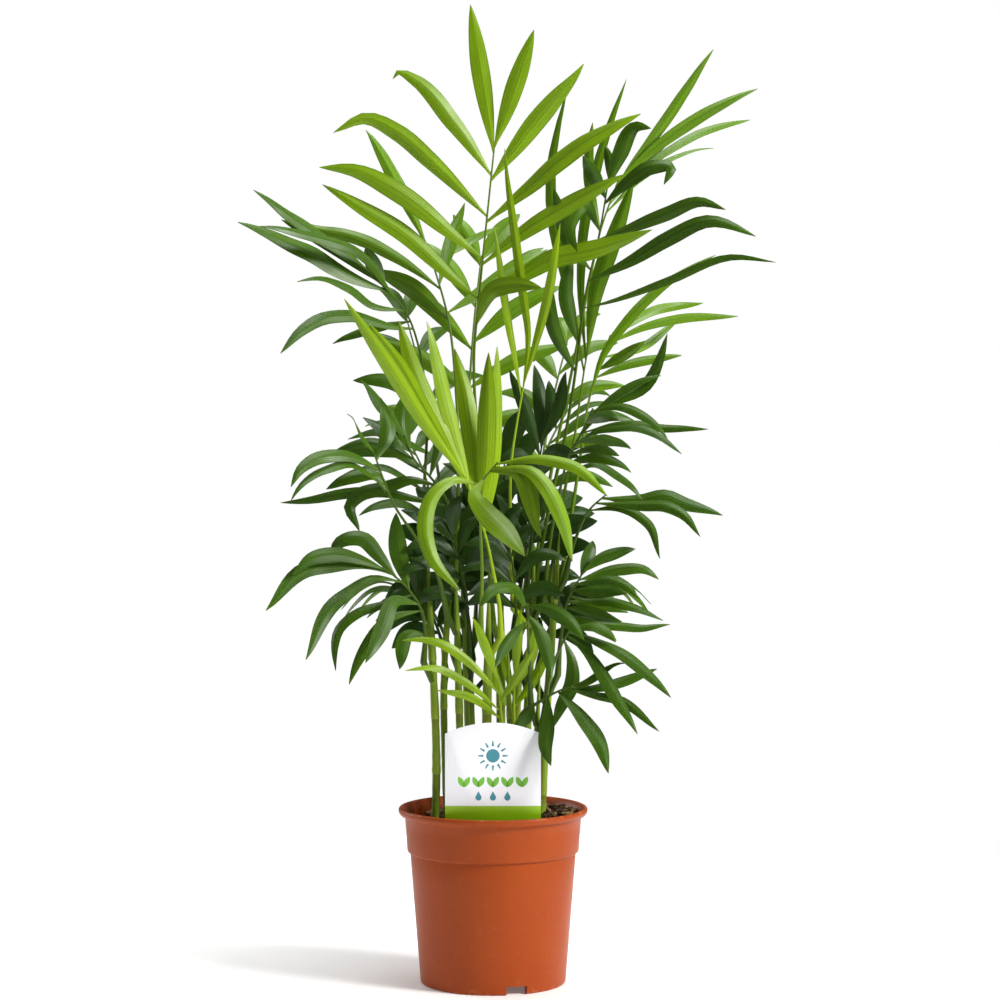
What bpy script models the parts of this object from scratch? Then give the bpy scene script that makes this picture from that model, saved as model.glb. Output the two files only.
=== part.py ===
"""A parlour palm in a plastic nursery pot, at its real size.

The origin is on the pot's axis, in the plane of its feet. +Z is up and the front of the plant faces -Y.
Lengths below are in millimetres; meshes are made in metres. Every frond is one closed body: a slender
square petiole and midrib, with each leaflet growing out of its own short stretch of the midrib's side.
"""

import math

import bmesh
import bpy
import numpy as np
from mathutils import Vector
from mathutils.bvhtree import BVHTree

MM = 0.001
GAP = 0.4  # kept between neighbours

# The leaves are drawn as the front view shows them from this eye point, at the height of mid plant.
EYE = (4.0, -2050.0, 410.0)

POT_HEIGHT = 112.0
POT_WALL = 1.2
POT_SIDES = 40
FOOT_RADIUS = 46.0
BODY_TOP_RADIUS, BODY_TOP = 52.5, 81.5
BAND_LOW_RADIUS, BAND_LOW = 54.5, 85.5
BAND_TOP_RADIUS, BAND_TOP = 56.0, 107.0
RIM_RADIUS = 60.0
FLOOR_UNDER, FLOOR_TOP = 6.0, 7.4
FOOT_RING_INNER = 42.0
BOSS_RADIUS = 9.0
DRAIN_HOLES, DRAIN_RADIUS, DRAIN_CIRCLE = 6, 3.5, 28.0
NOTCHES, NOTCH_WIDTH, NOTCH_HEIGHT, NOTCH_TURN = 3, 13.5, 5.5, 19.0

SOIL_TOP = 104.0
SOIL_MOUND = 1.6
SOIL_SIDES = 32

LABEL_Y = -44.0
LABEL_HALF = 29.8
LABEL_SHOULDER, LABEL_TOP = 163.9, 170.8
LABEL_FOOT = SOIL_TOP + 2.4
LABEL_THICK = 0.8
STAKE_HALF, STAKE_FOOT = 8.0, 62.0

CANE_SIDES = 6
CANE_ROOT = 92.0
BLADE_THICK = 0.9
MIDRIB_FOOT, MIDRIB_TIP = 1.5, 0.8  # half the side of the square section
LEAFLET_SPACING = 3.4  # least distance between leaflet roots along a midrib
ROOT_HALF = 1.3  # half the length of midrib that a leaflet grows from
SWINGS = (0, 5, -5, 10, -10, 15, -15, 20, -20, 26, -26, 33, -33, 42, -42, 52, -52)
SLIMMER = (1.0, 0.75, 0.5)

# name: stations (x, y, z), radius at the foot, radius at the top
CANES = {
    "cane_left": ([(-37, 0, CANE_ROOT), (-36, 1, 130), (-40, 2, 240)], 2.6, 2.2),
    "cane_left_pale": ([(-29, 10, CANE_ROOT), (-31, 9, 200), (-27, 9, 258)], 2.4, 1.8),
    "cane_brown": ([(-19, -4, CANE_ROOT), (-21, -4, 160), (-23, -4, 235)], 2.6, 2.0),
    "cane_slim": ([(-12, 12, CANE_ROOT), (-13, 12, 150), (-15, 12, 205)], 2.2, 1.8),
    "cane_centre": ([(-4, -8, CANE_ROOT), (-4, -8, 160), (-3, -8, 222)], 3.6, 2.4),
    "cane_centre_rear": ([(5, 6, CANE_ROOT), (5, 6, 160), (5, 6, 232)], 3.4, 2.2),
    "cane_young": ([(12, -10, CANE_ROOT), (11, -10, 140), (10, -11, 186)], 2.2, 1.6),
    "cane_tall": ([(19, 2, CANE_ROOT), (22, 2, 170), (25, 3, 245)], 3.0, 2.2),
    "cane_low_right": ([(25, -12, CANE_ROOT), (26, -13, 130), (28, -14, 170)], 2.4, 1.8),
    "cane_right": ([(30, 8, CANE_ROOT), (34, 7, 170), (40, 6, 256)], 2.8, 2.0),
    "cane_rear_left": ([(-14, 27, CANE_ROOT), (-16, 29, 160), (-18, 31, 226)], 2.8, 2.2),
    "cane_rear_right": ([(13, 25, CANE_ROOT), (15, 27, 160), (17, 30, 234)], 2.8, 2.2),
}

# Fronds drawn in the front view. Each has its age, the way its blades face, how steeply its leaflets turn
# back (+) or forward (-) as they go sideways, its midrib from the foot of the petiole (x and z as seen, y as
# it is), and its leaflets: width, how much further back the tip lies than its root for any other reason,
# then the x and z of the points that the leaflet passes through from the midrib to its tip.
DRAWN = {
    "frond_crown": (
        "fresh",
        (0, -1, 0.25),
        0,
        [
            (0, 0, 228), (-4, -1, 290), (-10, -2, 350), (-12, -3, 400), (-9, -5, 434), (-4, -9, 483),
            (1, -13, 531),
        ],
        [
            (11, -30, -12, 418, 0, 440, 15, 443, 30, 441),
            (11, -12, -9, 434, -25, 447, -60, 478, -80, 490, -107, 506),
            (12, -26, -9, 436, 15, 447, 40, 460, 60, 464, 100, 477),
            (12, -22, -7, 457, -25, 474, -60, 501, -90, 515, -109, 516),
            (12, -22, -7, 456, 20, 477, 45, 492, 82, 512),
            (11, -16, -4, 483, -40, 521, -60, 538, -80, 547, -100, 538),
            (12, -18, -4, 482, 20, 502, 50, 527, 92, 551),
            (11, -10, -1, 509, -25, 545, -50, 572, -60, 576, -63, 572),
            (12, -14, 0, 508, 30, 548, 58, 580),
            (11, -14, 1, 529, -7, 572, -14, 618),
            (11, -18, 1, 529, 15, 570, 26, 602),
        ],
    ),
    "frond_upper_left": (
        "mature",
        (0.2, -1, 0.3),
        0.25,
        [(-24, 14, 256), (-22, 19, 310), (-23, 26, 370), (-29, 34, 425), (-36, 40, 450), (-43, 46, 471)],
        [
            (12, 26, -28, 421, -50, 440, -75, 452),
            (9, 16, -29, 425, -10, 437, 5, 448, 35, 465),
            (9, 20, -33, 440, -50, 453, -90, 474, -110, 478, -130, 485),
            (10, 12, -34, 443, -26, 470, -17, 494),
            (5, 24, -38, 456, -15, 470, 5, 480),
            (7, 30, -42, 466, -56, 500, -76, 538),
            (8, 22, -43, 470, -60, 505, -79, 541),
        ],
    ),
    "frond_far_left": (
        "dark",
        (0.1, -0.8, 0.6),
        -0.3,
        [(-42, 7, 238), (-44, 11, 300), (-42, 11, 360), (-46, 8, 400), (-54, 4, 424), (-76, -8, 449)],
        [
            (10, -40, -50, 415, -60, 416, -90, 424, -105, 423, -120, 415, -134, 400),
            (8, 30, -52, 420, -70, 417, -85, 413, -102, 407),
            (8, -30, -56, 426, -75, 430, -90, 441, -105, 447, -123, 447),
            (9, -22, -62, 434, -85, 464, -100, 470, -120, 475, -144, 481),
            (12, -10, -66, 438, -90, 448, -115, 463, -135, 472, -159, 484),
            (10, 24, -68, 441, -75, 455, -82, 467),
            (8, 14, -71, 445, -100, 466, -133, 484),
            (10, 6, -75, 448, -90, 460, -130, 488, -150, 503),
        ],
    ),
    "frond_fan": (
        "young",
        (0.15, -1, 0.1),
        -0.1,
        [(5, -15, 220), (4, -18, 240), (0, -23, 262), (-5, -28, 285), (-12, -33, 305), (-17, -38, 322)],
        [
            (9, 6, -5, 287, 0, 320, 2, 360, 3, 404),
            (12, 0, -8, 295, -5, 330, -4, 360, -3, 400),
            (12, -8, -11, 303, -13, 340, -17, 370, -25, 403),
            (10, -14, -13, 309, -22, 340, -30, 370, -41, 420),
            (13, -20, -15, 314, -30, 345, -45, 375, -60, 420),
            (8, -26, -16, 318, -45, 368, -62, 398, -78, 418),
            (10, -32, -17, 321, -40, 352, -65, 392, -92, 433),
        ],
    ),
    "frond_weeping": (
        "fresh",
        (0, -1, 0.5),
        -0.3,
        [(-8, -15, 224), (-7, -28, 262), (-8, -48, 296), (-7, -62, 318), (3, -72, 331)],
        [
            (10, -24, -8, 316, -25, 320, -38, 310, -43, 290, -38, 270, -20, 249),
            (14, -40, -6, 320, -12, 310, -5, 300, 5, 290, 20, 273),
            (11, -34, -2, 325, 15, 325, 25, 300, 28, 284),
            (10, -28, 1, 329, 25, 325, 42, 300, 50, 270),
            (8, -18, 3, 331, 20, 333, 40, 332, 52, 328, 72, 310),
        ],
    ),
    "frond_left_middle": (
        "dark",
        (0.2, -0.8, 0.6),
        -0.1,
        [(-29, -8, 234), (-36, -17, 262), (-50, -28, 285), (-62, -37, 303), (-70, -44, 322), (-76, -50, 339)],
        [
            (9, -26, -64, 308, -75, 323, -90, 321, -107, 313),
            (8, -46, -68, 316, -92, 330, -105, 327, -120, 318, -129, 309),
            (9, -34, -71, 325, -80, 331, -110, 334, -122, 326, -127, 317),
            (10, 18, -74, 332, -66, 352, -70, 372),
            (7, -18, -76, 338, -84, 350, -90, 363),
        ],
    ),
    "frond_left_inner": (
        "dark",
        (0.1, -0.9, 0.4),
        0.4,
        [(-29, 3.5, 252), (-25, 0, 285), (-30, -4, 308), (-40, -7, 322), (-50, -9, 333), (-56, -10, 348)],
        [
            (7, -30, -28, 303, -50, 308, -70, 312, -95, 311, -115, 307, -135, 305),
            (10, -24, -35, 316, -50, 320, -70, 315, -84, 311, -90, 305, -84, 288),
            (9, 20, -40, 322, -32, 350, -34, 380),
            (11, 8, -46, 328, -62, 340, -70, 352, -82, 360),
            (9, -12, -50, 333, -65, 337, -80, 339, -107, 331),
            (12, 4, -52, 338, -57, 355, -54, 376),
            (9, 16, -55, 346, -68, 364, -82, 384),
        ],
    ),
    "frond_low_left": (
        "dark",
        (0.1, -0.8, 0.6),
        -0.15,
        [(-44, -4, 204), (-43, -6, 222), (-45, -10, 236), (-54, -17, 251), (-64, -23, 260), (-70, -27, 264)],
        [
            (9, -8, -43, 222, -53, 222, -59, 200),
            (8, -20, -45, 237, -66, 232, -80, 215, -92, 191),
            (10, -40, -47, 241, -62, 243, -70, 225, -80, 205),
            (8, -30, -51, 247, -72, 240, -85, 236, -98, 225, -103, 197),
            (11, 6, -53, 250, -60, 275, -62, 299),
            (9, -44, -58, 255, -75, 258, -90, 250, -102, 240, -118, 206),
            (11, 10, -61, 258, -72, 272, -82, 283, -97, 281, -103, 268),
            (10, -34, -64, 260, -80, 266, -100, 266, -120, 262, -144, 236),
            (10, -20, -68, 263, -85, 270, -100, 273, -115, 270, -126, 260),
        ],
    ),
    "frond_low_centre": (
        "dark",
        (0, -1, 0.5),
        -0.5,
        [(24, -18, 176), (23, -27, 205), (22, -42, 230), (22, -52, 241)],
        [
            (8, -34, 22, 230, 15, 225, 8, 215, 2, 203),
            (9, -28, 22, 234, 27, 228, 34, 212, 37, 195),
            (8, -14, 22, 237, 12, 252, 0, 250, -8, 240),
            (9, -22, 22, 240, 35, 238, 48, 230, 57, 220),
        ],
    ),
    "frond_low_right": (
        "dark",
        (0, -0.9, 0.6),
        -0.2,
        [(32, -19, 168), (36, -26, 195), (42, -35, 212), (47, -43, 222), (50, -48, 227)],
        [
            (9, -18, 45, 218, 50, 205, 50, 190, 43, 175, 38, 162),
            (8, -34, 47, 221, 58, 212, 70, 195, 80, 178, 92, 160),
            (9, -24, 48, 224, 65, 218, 85, 208, 100, 195, 113, 183),
            (8, -10, 50, 226, 65, 227, 78, 219),
        ],
    ),
    "frond_lowest": (
        "dark",
        (0, -0.9, 0.6),
        -0.2,
        [(16, -17, 164), (20, -24, 173), (28, -32, 178), (40, -44, 185), (50, -53, 189)],
        [
            (8, -6, 26, 177, 22, 170, 13, 163),
            (10, -26, 35, 182, 34, 165, 33, 150, 36, 138),
            (10, -36, 43, 186, 58, 168, 68, 152, 73, 134),
            (6, -20, 48, 188, 65, 183, 80, 180, 105, 160),
            (7, -12, 47, 188, 60, 192, 72, 200, 83, 205),
            (7, -6, 50, 189, 60, 187, 80, 190, 105, 198),
        ],
    ),
    "frond_right_low_middle": (
        "dark",
        (-0.1, -0.9, 0.5),
        0.1,
        [(41, -1, 196), (43, -7, 220), (47, -13, 242), (54, -20, 256), (58, -24, 263)],
        [
            (6, -6, 45, 230, 80, 227, 95, 226, 112, 229),
            (8, -34, 45, 234, 60, 230, 77, 219),
            (7, -22, 46, 239, 62, 236, 80, 230),
            (7, -12, 47, 243, 70, 240, 86, 236),
            (8, -32, 49, 246, 60, 243, 75, 243, 108, 232),
            (11, -42, 51, 250, 70, 250, 83, 249),
            (8, -26, 53, 253, 75, 256, 85, 252, 92, 245),
            (8, -16, 55, 256, 80, 263, 95, 263, 106, 257),
            (8, 12, 56, 259, 60, 270, 64, 282),
            (8, -2, 57, 261, 68, 270, 90, 277),
        ],
    ),
    "frond_right_middle": (
        "dark",
        (0, -0.8, 0.7),
        -0.25,
        [(45, 1, 256), (52, -3, 282), (62, -6, 302), (71, -9, 310)],
        [
            (6, -18, 61, 300, 80, 302, 92, 297, 98, 292, 105, 270),
            (8, -34, 65, 305, 90, 304, 110, 303, 120, 298, 130, 285),
            (10, -24, 69, 308, 95, 307, 110, 309, 120, 305, 146, 298),
        ],
    ),
    "frond_right_upper": (
        "mature",
        (-0.1, -0.9, 0.5),
        0.35,
        [(43, 11, 256), (50, 15, 300), (56, 20, 340), (61, 27, 372), (67, 33, 392), (74, 40, 411)],
        [
            (7, 10, 61, 372, 70, 400, 80, 415, 100, 437, 138, 463),
            (7, -22, 65, 384, 85, 393, 100, 396, 119, 399),
            (7, -32, 66, 389, 80, 397, 96, 407),
            (6, 28, 69, 396, 90, 402, 117, 421),
            (6, 2, 68, 394, 78, 412, 93, 433),
            (6, -12, 72, 405, 95, 416, 115, 421, 155, 423),
            (6, 24, 74, 410, 100, 426, 133, 431),
        ],
    ),
    "frond_right_inner": (
        "dark",
        (0, -0.9, 0.6),
        -0.1,
        [(32, -2, 242), (36, -8, 280), (42, -15, 312), (48, -22, 335), (56, -28, 350), (63, -34, 365)],
        [
            (7, -12, 44, 322, 65, 330, 80, 322, 95, 309),
            (7, -22, 46, 330, 66, 334, 87, 327),
            (8, -32, 48, 336, 62, 340, 79, 336),
            (6, -36, 50, 340, 60, 348, 80, 353, 95, 352, 118, 338),
            (8, -42, 52, 344, 66, 346, 85, 342),
            (8, -10, 53, 346, 70, 366, 98, 381, 105, 395, 110, 412),
            (6, -26, 55, 350, 85, 356, 105, 353, 135, 352),
            (9, -30, 58, 356, 66, 360, 78, 359),
            (6, -4, 60, 360, 85, 378, 105, 387),
            (6, -18, 63, 364, 80, 366, 95, 360, 110, 348),
        ],
    ),
    "frond_tall_right": (
        "dark",
        (-0.2, -1, 0.25),
        -0.15,
        [
            (26, 8, 250), (35, 10, 300), (46, 11, 350), (53, 8, 395), (58, 4, 435), (67, -2, 475),
            (73, -6, 511),
        ],
        [
            (9, -12, 51, 388, 38, 415, 34, 450),
            (9, -2, 54, 404, 46, 435, 50, 464),
            (5, -16, 57, 428, 70, 431, 110, 445, 150, 460, 178, 457),
            (10, -30, 60, 445, 85, 457, 110, 472, 135, 483, 165, 475),
            (9, -18, 62, 452, 50, 465, 43, 485, 38, 503),
            (9, -22, 66, 471, 90, 480, 110, 488, 130, 495, 146, 490),
            (9, -20, 67, 477, 57, 493, 48, 480, 52, 464),
            (10, -18, 70, 494, 85, 508, 100, 517, 112, 517, 108, 506),
            (9, -14, 70, 497, 62, 513, 57, 523),
            (10, -10, 71, 504, 80, 525, 90, 542, 99, 541),
            (6, -4, 73, 509, 73, 520, 71, 531),
        ],
    ),
    "frond_upright_right": (
        "mature",
        (-0.2, -1, 0.1),
        0.2,
        [(35, 12, 248), (43, 20, 300), (52, 22, 350), (58, 21, 392), (60, 20, 403)],
        [
            (7, 8, 57, 388, 45, 450, 38, 480, 36, 505, 45, 565),
            (7, -4, 58, 395, 55, 440, 57, 480, 66, 520, 83, 572),
            (11, -12, 59, 400, 65, 440, 75, 470, 88, 508),
        ],
    ),
    "frond_spear": (
        "young",
        (0.1, -1, 0.1),
        0,
        [(13, -5, 238), (11, -9, 290), (12, -12, 335), (15, -13, 355), (20, -15, 383)],
        [
            (5, -8, 18, 372, 15, 390, 8, 430, 1, 480),
            (6, -14, 19, 377, 22, 410, 18, 440, 6, 528),
            (6, -2, 20, 381, 25, 400, 33, 430, 42, 480),
        ],
    ),
    "frond_top_right": (
        "mature",
        (-0.2, -0.9, 0.4),
        0.3,
        [(22, 34, 234), (34, 39, 310), (48, 42, 380), (60, 46, 440), (68, 49, 478), (79, 53, 509)],
        [
            (7, 6, 68, 476, 60, 510, 62, 545),
            (7, 22, 71, 488, 90, 508, 110, 522, 138, 531),
            (6, 28, 73, 493, 100, 525, 125, 547),
            (7, 16, 75, 499, 100, 520, 130, 538, 162, 547),
            (8, 10, 76, 503, 85, 515, 100, 535, 138, 591),
            (8, 4, 78, 507, 100, 527, 130, 548, 165, 566),
        ],
    ),
    "frond_inner_dark": (
        "dark",
        (0, -1, 0.3),
        0,
        [(21, -4, 242), (25, -3, 290), (29, -1, 325), (31, 1, 342), (34, 2, 351)],
        [
            (9, -16, 28, 316, 14, 336, 2, 330),
            (9, -18, 29, 322, 40, 338, 54, 334),
            (8, -6, 30, 334, 22, 360, 10, 389),
            (9, 2, 31, 340, 30, 370, 27, 393),
            (8, -2, 33, 345, 42, 368, 45, 388),
            (8, 8, 34, 349, 37, 365, 35, 383),
        ],
    ),
    "frond_sprout": (
        "young",
        (0, -1, 0.2),
        -0.2,
        [(7, -17, 148), (5, -19, 170), (3, -20, 196)],
        [
            (5, -18, 5, 168, -15, 182, -35, 186),
            (5, -12, 5, 173, -20, 193, -35, 200, -55, 200),
            (6, -8, 4, 179, 15, 195, 25, 212),
            (6, -4, 4, 184, -20, 208, -35, 217, -57, 219),
            (6, -10, 3, 192, -4, 212, -12, 232),
        ],
    ),
    "frond_bundle": (
        "young",
        (0, -1, 0.2),
        0.1,
        [(13, -4, 158), (13, -5, 178), (14, -7, 197)],
        [
            (6, -4, 13, 171, 3, 190, -2, 213),
            (7, -6, 13, 175, 26, 194, 36, 216),
            (6, -2, 13, 181, 8, 203, 6, 226),
            (7, 2, 14, 187, 23, 206, 28, 232),
            (6, -2, 14, 193, 15, 213, 17, 238),
        ],
    ),
}

# Fronds that lean away from the front, and short ones inside the plant: age, the way the blades face, the
# midrib as it is, pairs of leaflets, longest leaflet, leaflet width, and how far a tip hangs, as a share.
LEANING = {
    "frond_rear_tall": (
        "mature", (0, -0.9, 0.5),
        [(-19, 37, 226), (-20, 48, 300), (-16, 62, 370), (-12, 76, 425), (-8, 92, 462)], 5, 82, 11, 0.1,
    ),
    "frond_rear_right": (
        "dark", (-0.3, -0.6, 0.8),
        [(15, 36, 232), (24, 54, 290), (36, 82, 338), (50, 114, 362)], 5, 74, 10, 0.25,
    ),
    "frond_rear_left": (
        "dark", (0.3, -0.6, 0.8),
        [(-24, 34, 222), (-34, 52, 276), (-46, 80, 322), (-58, 112, 344)], 5, 74, 10, 0.25,
    ),
    "frond_rear_low": (
        "dark", (0, -0.3, 1),
        [(-12, 36, 214), (-10, 58, 252), (-6, 90, 274), (-2, 122, 276)], 5, 66, 10, 0.35,
    ),
    "frond_rear_low_right": (
        "dark", (-0.2, -0.2, 1),
        [(22, 33, 206), (34, 52, 232), (50, 78, 246), (66, 104, 244)], 4, 60, 9, 0.35,
    ),
    "frond_rear_low_left": (
        "dark", (0.2, -0.2, 1),
        [(-23, 33, 198), (-36, 52, 226), (-50, 78, 242), (-64, 104, 240)], 4, 60, 9, 0.35,
    ),
    "frond_rear_high_left": (
        "dark", (0.3, -0.7, 0.6),
        [(-26, 27, 236), (-34, 50, 310), (-46, 80, 380), (-58, 108, 424)], 4, 62, 10, 0.2,
    ),
    "frond_rear_high_right": (
        "mature", (-0.3, -0.7, 0.6),
        [(20, 37, 242), (29, 58, 310), (40, 88, 372), (50, 116, 410)], 4, 62, 10, 0.2,
    ),
    "frond_heart_left": (
        "dark", (0.15, -1, 0.25),
        [(-13, 19, 204), (-17, 20, 238), (-23, 19, 270), (-31, 17, 298)], 5, 50, 13, 0.12,
    ),
    "frond_heart_right": (
        "dark", (-0.15, -1, 0.25),
        [(11, 15, 208), (15, 17, 240), (23, 18, 272), (33, 16, 300)], 5, 50, 13, 0.12,
    ),
    "frond_heart_middle": (
        "dark", (0, -1, 0.2),
        [(-1, 22, 196), (-1, 25, 230), (-3, 27, 264), (-5, 27, 304)], 5, 52, 14, 0.1,
    ),
    "frond_heart_low_left": (
        "dark", (0.2, -1, 0.4),
        [(-30, 16, 196), (-33, 17, 216), (-40, 15, 234), (-49, 11, 246)], 4, 42, 11, 0.35,
    ),
    "frond_heart_low_right": (
        "dark", (-0.2, -1, 0.4),
        [(27, 14, 190), (31, 16, 212), (39, 14, 230), (48, 10, 242)], 4, 42, 11, 0.35,
    ),
    "frond_heart_rear": (
        "dark", (0, -0.9, 0.5),
        [(5, 36, 214), (6, 40, 254), (8, 45, 292), (7, 50, 334)], 5, 58, 13, 0.12,
    ),
    "frond_inner_left": (
        "mature", (0.1, -0.9, 0.5),
        [(-15, 6.5, 202), (-16, 1, 235), (-19, -5, 262), (-26, -9, 286)], 4, 50, 9, 0.3,
    ),
    "frond_inner_right": (
        "mature", (-0.1, -0.9, 0.5),
        [(19, -5, 196), (15, -9, 232), (13, -14, 262), (9, -20, 286)], 4, 46, 9, 0.3,
    ),
}

FINISHES = {
    "pot": ((0.42, 0.12, 0.04), 0.5),
    "soil": ((0.035, 0.02, 0.012), 0.95),
    "label": ((0.8, 0.82, 0.85), 0.4),
    "cane": ((0.12, 0.2, 0.04), 0.5),
    "young": ((0.34, 0.52, 0.04), 0.45),
    "fresh": ((0.24, 0.42, 0.03), 0.45),
    "mature": ((0.12, 0.27, 0.02), 0.42),
    "dark": ((0.05, 0.14, 0.015), 0.4),
}


def clear_scene():
    for thing in list(bpy.data.objects):
        bpy.data.objects.remove(thing, do_unlink=True)


def finish(name):
    """The material of that finish, made once."""
    if name not in bpy.data.materials:
        colour, roughness = FINISHES[name]
        material = bpy.data.materials.new(name)
        material.use_nodes = True
        shader = material.node_tree.nodes["Principled BSDF"]
        shader.inputs["Base Color"].default_value = (*colour, 1)
        shader.inputs["Roughness"].default_value = roughness
        shader.inputs["Metallic"].default_value = 0
    return bpy.data.materials[name]


def add_object(name, mesh, material):
    thing = bpy.data.objects.new(name, mesh)
    bpy.context.collection.objects.link(thing)
    mesh.materials.append(finish(material))
    return thing


def solid(name, points, faces):
    """A mesh in metres from points in millimetres, with its faces outwards."""
    bm = bmesh.new()
    verts = [bm.verts.new(Vector(p) * MM) for p in points]
    for face in faces:
        bm.faces.new([verts[i] for i in face])
    bmesh.ops.recalc_face_normals(bm, faces=bm.faces)
    if bm.calc_volume(signed=True) < 0:
        bmesh.ops.reverse_faces(bm, faces=bm.faces)
    mesh = bpy.data.meshes.new(name)
    bm.to_mesh(mesh)
    bm.free()
    return mesh


def turned(name, profile, sides):
    """A solid turned about Z from a profile (radius, height), with a flat face at each end of it."""
    points, faces = [], []
    for radius, height in profile:
        for i in range(sides):
            turn = math.tau * i / sides
            points.append((radius * math.cos(turn), radius * math.sin(turn), height))
    for ring in range(len(profile) - 1):
        low, high = ring * sides, (ring + 1) * sides
        for i in range(sides):
            j = (i + 1) % sides
            faces.append((low + i, low + j, high + j, high + i))
    faces.append(tuple(range(sides - 1, -1, -1)))
    faces.append(tuple(range(len(points) - sides, len(points))))
    return solid(name, points, faces)


def cutter(name, mesh):
    thing = bpy.data.objects.new(name, mesh)
    bpy.context.collection.objects.link(thing)
    thing.hide_render = True
    thing.display_type = "WIRE"
    return thing


def cut(thing, tool):
    change = thing.modifiers.new(tool.name, "BOOLEAN")
    change.operation = "DIFFERENCE"
    change.solver = "EXACT"
    change.object = tool


def box_mesh(name, low, high):
    xs, ys, zs = zip(low, high)
    points = [(x, y, z) for z in zs for y in ys for x in xs]
    faces = [(0, 1, 3, 2), (4, 6, 7, 5), (0, 4, 5, 1), (2, 3, 7, 6), (0, 2, 6, 4), (1, 5, 7, 3)]
    return solid(name, points, faces)


def make_pot():
    """Foot ring and centre boss stand on the ground; the raised floor between them has drain holes."""
    outer = [
        (BOSS_RADIUS, 0), (BOSS_RADIUS, FLOOR_UNDER), (FOOT_RING_INNER, FLOOR_UNDER),
        (FOOT_RING_INNER, 0), (FOOT_RADIUS - 1.8, 0), (FOOT_RADIUS, 2),
        (BODY_TOP_RADIUS, BODY_TOP), (BAND_LOW_RADIUS, BAND_LOW), (BAND_TOP_RADIUS, BAND_TOP),
        (RIM_RADIUS - 0.6, BAND_TOP + 0.8), (RIM_RADIUS, POT_HEIGHT - 1.4), (RIM_RADIUS - 1, POT_HEIGHT),
    ]
    inner = [
        (RIM_RADIUS - 2.8, POT_HEIGHT), (BAND_TOP_RADIUS - POT_WALL, BAND_TOP),
        (BAND_LOW_RADIUS - POT_WALL, BAND_LOW), (BODY_TOP_RADIUS - POT_WALL, BODY_TOP - 0.5),
        (FOOT_RADIUS - POT_WALL, FLOOR_TOP),
    ]
    pot = add_object("pot", turned("pot", outer + inner, POT_SIDES), "pot")
    pot.data.shade_smooth()
    for i in range(DRAIN_HOLES):
        turn = math.tau * (i + 0.5) / DRAIN_HOLES
        centre = (DRAIN_CIRCLE * math.cos(turn), DRAIN_CIRCLE * math.sin(turn))
        profile = [(DRAIN_RADIUS, FLOOR_UNDER - 2), (DRAIN_RADIUS, FLOOR_TOP + 2)]
        tool = cutter(f"drain_cutter_{i}", turned("drain_cutter", profile, 12))
        tool.location = (centre[0] * MM, centre[1] * MM, 0)
        cut(pot, tool)
    for i in range(NOTCHES):
        low = (FOOT_RING_INNER - 3, -NOTCH_WIDTH / 2, -2)
        high = (FOOT_RADIUS + 4, NOTCH_WIDTH / 2, NOTCH_HEIGHT)
        tool = cutter(f"notch_cutter_{i}", box_mesh("notch_cutter", low, high))
        tool.rotation_euler.z = math.radians(NOTCH_TURN - 90 + i * 360 / NOTCHES)
        cut(pot, tool)
    pot.data.set_sharp_from_angle(angle=math.radians(35))


def make_soil():
    """The root ball: it follows the pot's inside, with sockets for the canes and a slot for the label."""
    wall = POT_WALL + GAP
    profile = [
        (FOOT_RADIUS - wall - 0.2, FLOOR_TOP + GAP),
        (BODY_TOP_RADIUS - wall - 0.1, BODY_TOP - 1), (BAND_LOW_RADIUS - wall - 0.1, BAND_LOW + 0.4),
        (BAND_TOP_RADIUS - wall - 0.3, SOIL_TOP - 1.2), (BAND_TOP_RADIUS - wall - 3, SOIL_TOP),
        (30, SOIL_TOP + SOIL_MOUND),
    ]
    soil = add_object("soil", turned("soil", profile, SOIL_SIDES), "soil")
    for name, (stations, foot, _) in CANES.items():
        start, rise = Vector(stations[0]), Vector(stations[1]) - Vector(stations[0])
        ends = [start - Vector((0, 0, GAP)), start + rise * ((SOIL_TOP + 12 - CANE_ROOT) / rise.z)]
        tool = cutter(f"{name}_socket", tube_mesh("socket", ends, [foot + GAP] * 2, CANE_SIDES))
        cut(soil, tool)
    low = (-STAKE_HALF - GAP, LABEL_Y - GAP, STAKE_FOOT - 2)
    high = (STAKE_HALF + GAP, LABEL_Y + LABEL_THICK + GAP, SOIL_TOP + 9)
    cut(soil, cutter("label_slot", box_mesh("label_slot", low, high)))


def make_label():
    """A flat card with an arched top, cut from one sheet with its pointed stake."""
    arch_rise = LABEL_TOP - LABEL_SHOULDER
    radius = (LABEL_HALF**2 + arch_rise**2) / (2 * arch_rise)
    spread = math.asin(LABEL_HALF / radius)
    outline = [(-STAKE_HALF, LABEL_FOOT), (-STAKE_HALF, STAKE_FOOT + 18), (0, STAKE_FOOT),
               (STAKE_HALF, STAKE_FOOT + 18), (STAKE_HALF, LABEL_FOOT), (LABEL_HALF, LABEL_FOOT)]
    for i in range(11):
        turn = spread * (1 - i / 5)
        outline.append((radius * math.sin(turn), LABEL_TOP - radius * (1 - math.cos(turn))))
    outline.append((-LABEL_HALF, LABEL_FOOT))
    count = len(outline)
    points = [(x, LABEL_Y + depth, z) for depth in (0, LABEL_THICK) for x, z in outline]
    faces = [tuple(range(count)), tuple(range(2 * count - 1, count - 1, -1))]
    faces += [(i, (i + 1) % count, count + (i + 1) % count, count + i) for i in range(count)]
    add_object("plant_label", solid("plant_label", points, faces), "label")


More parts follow.
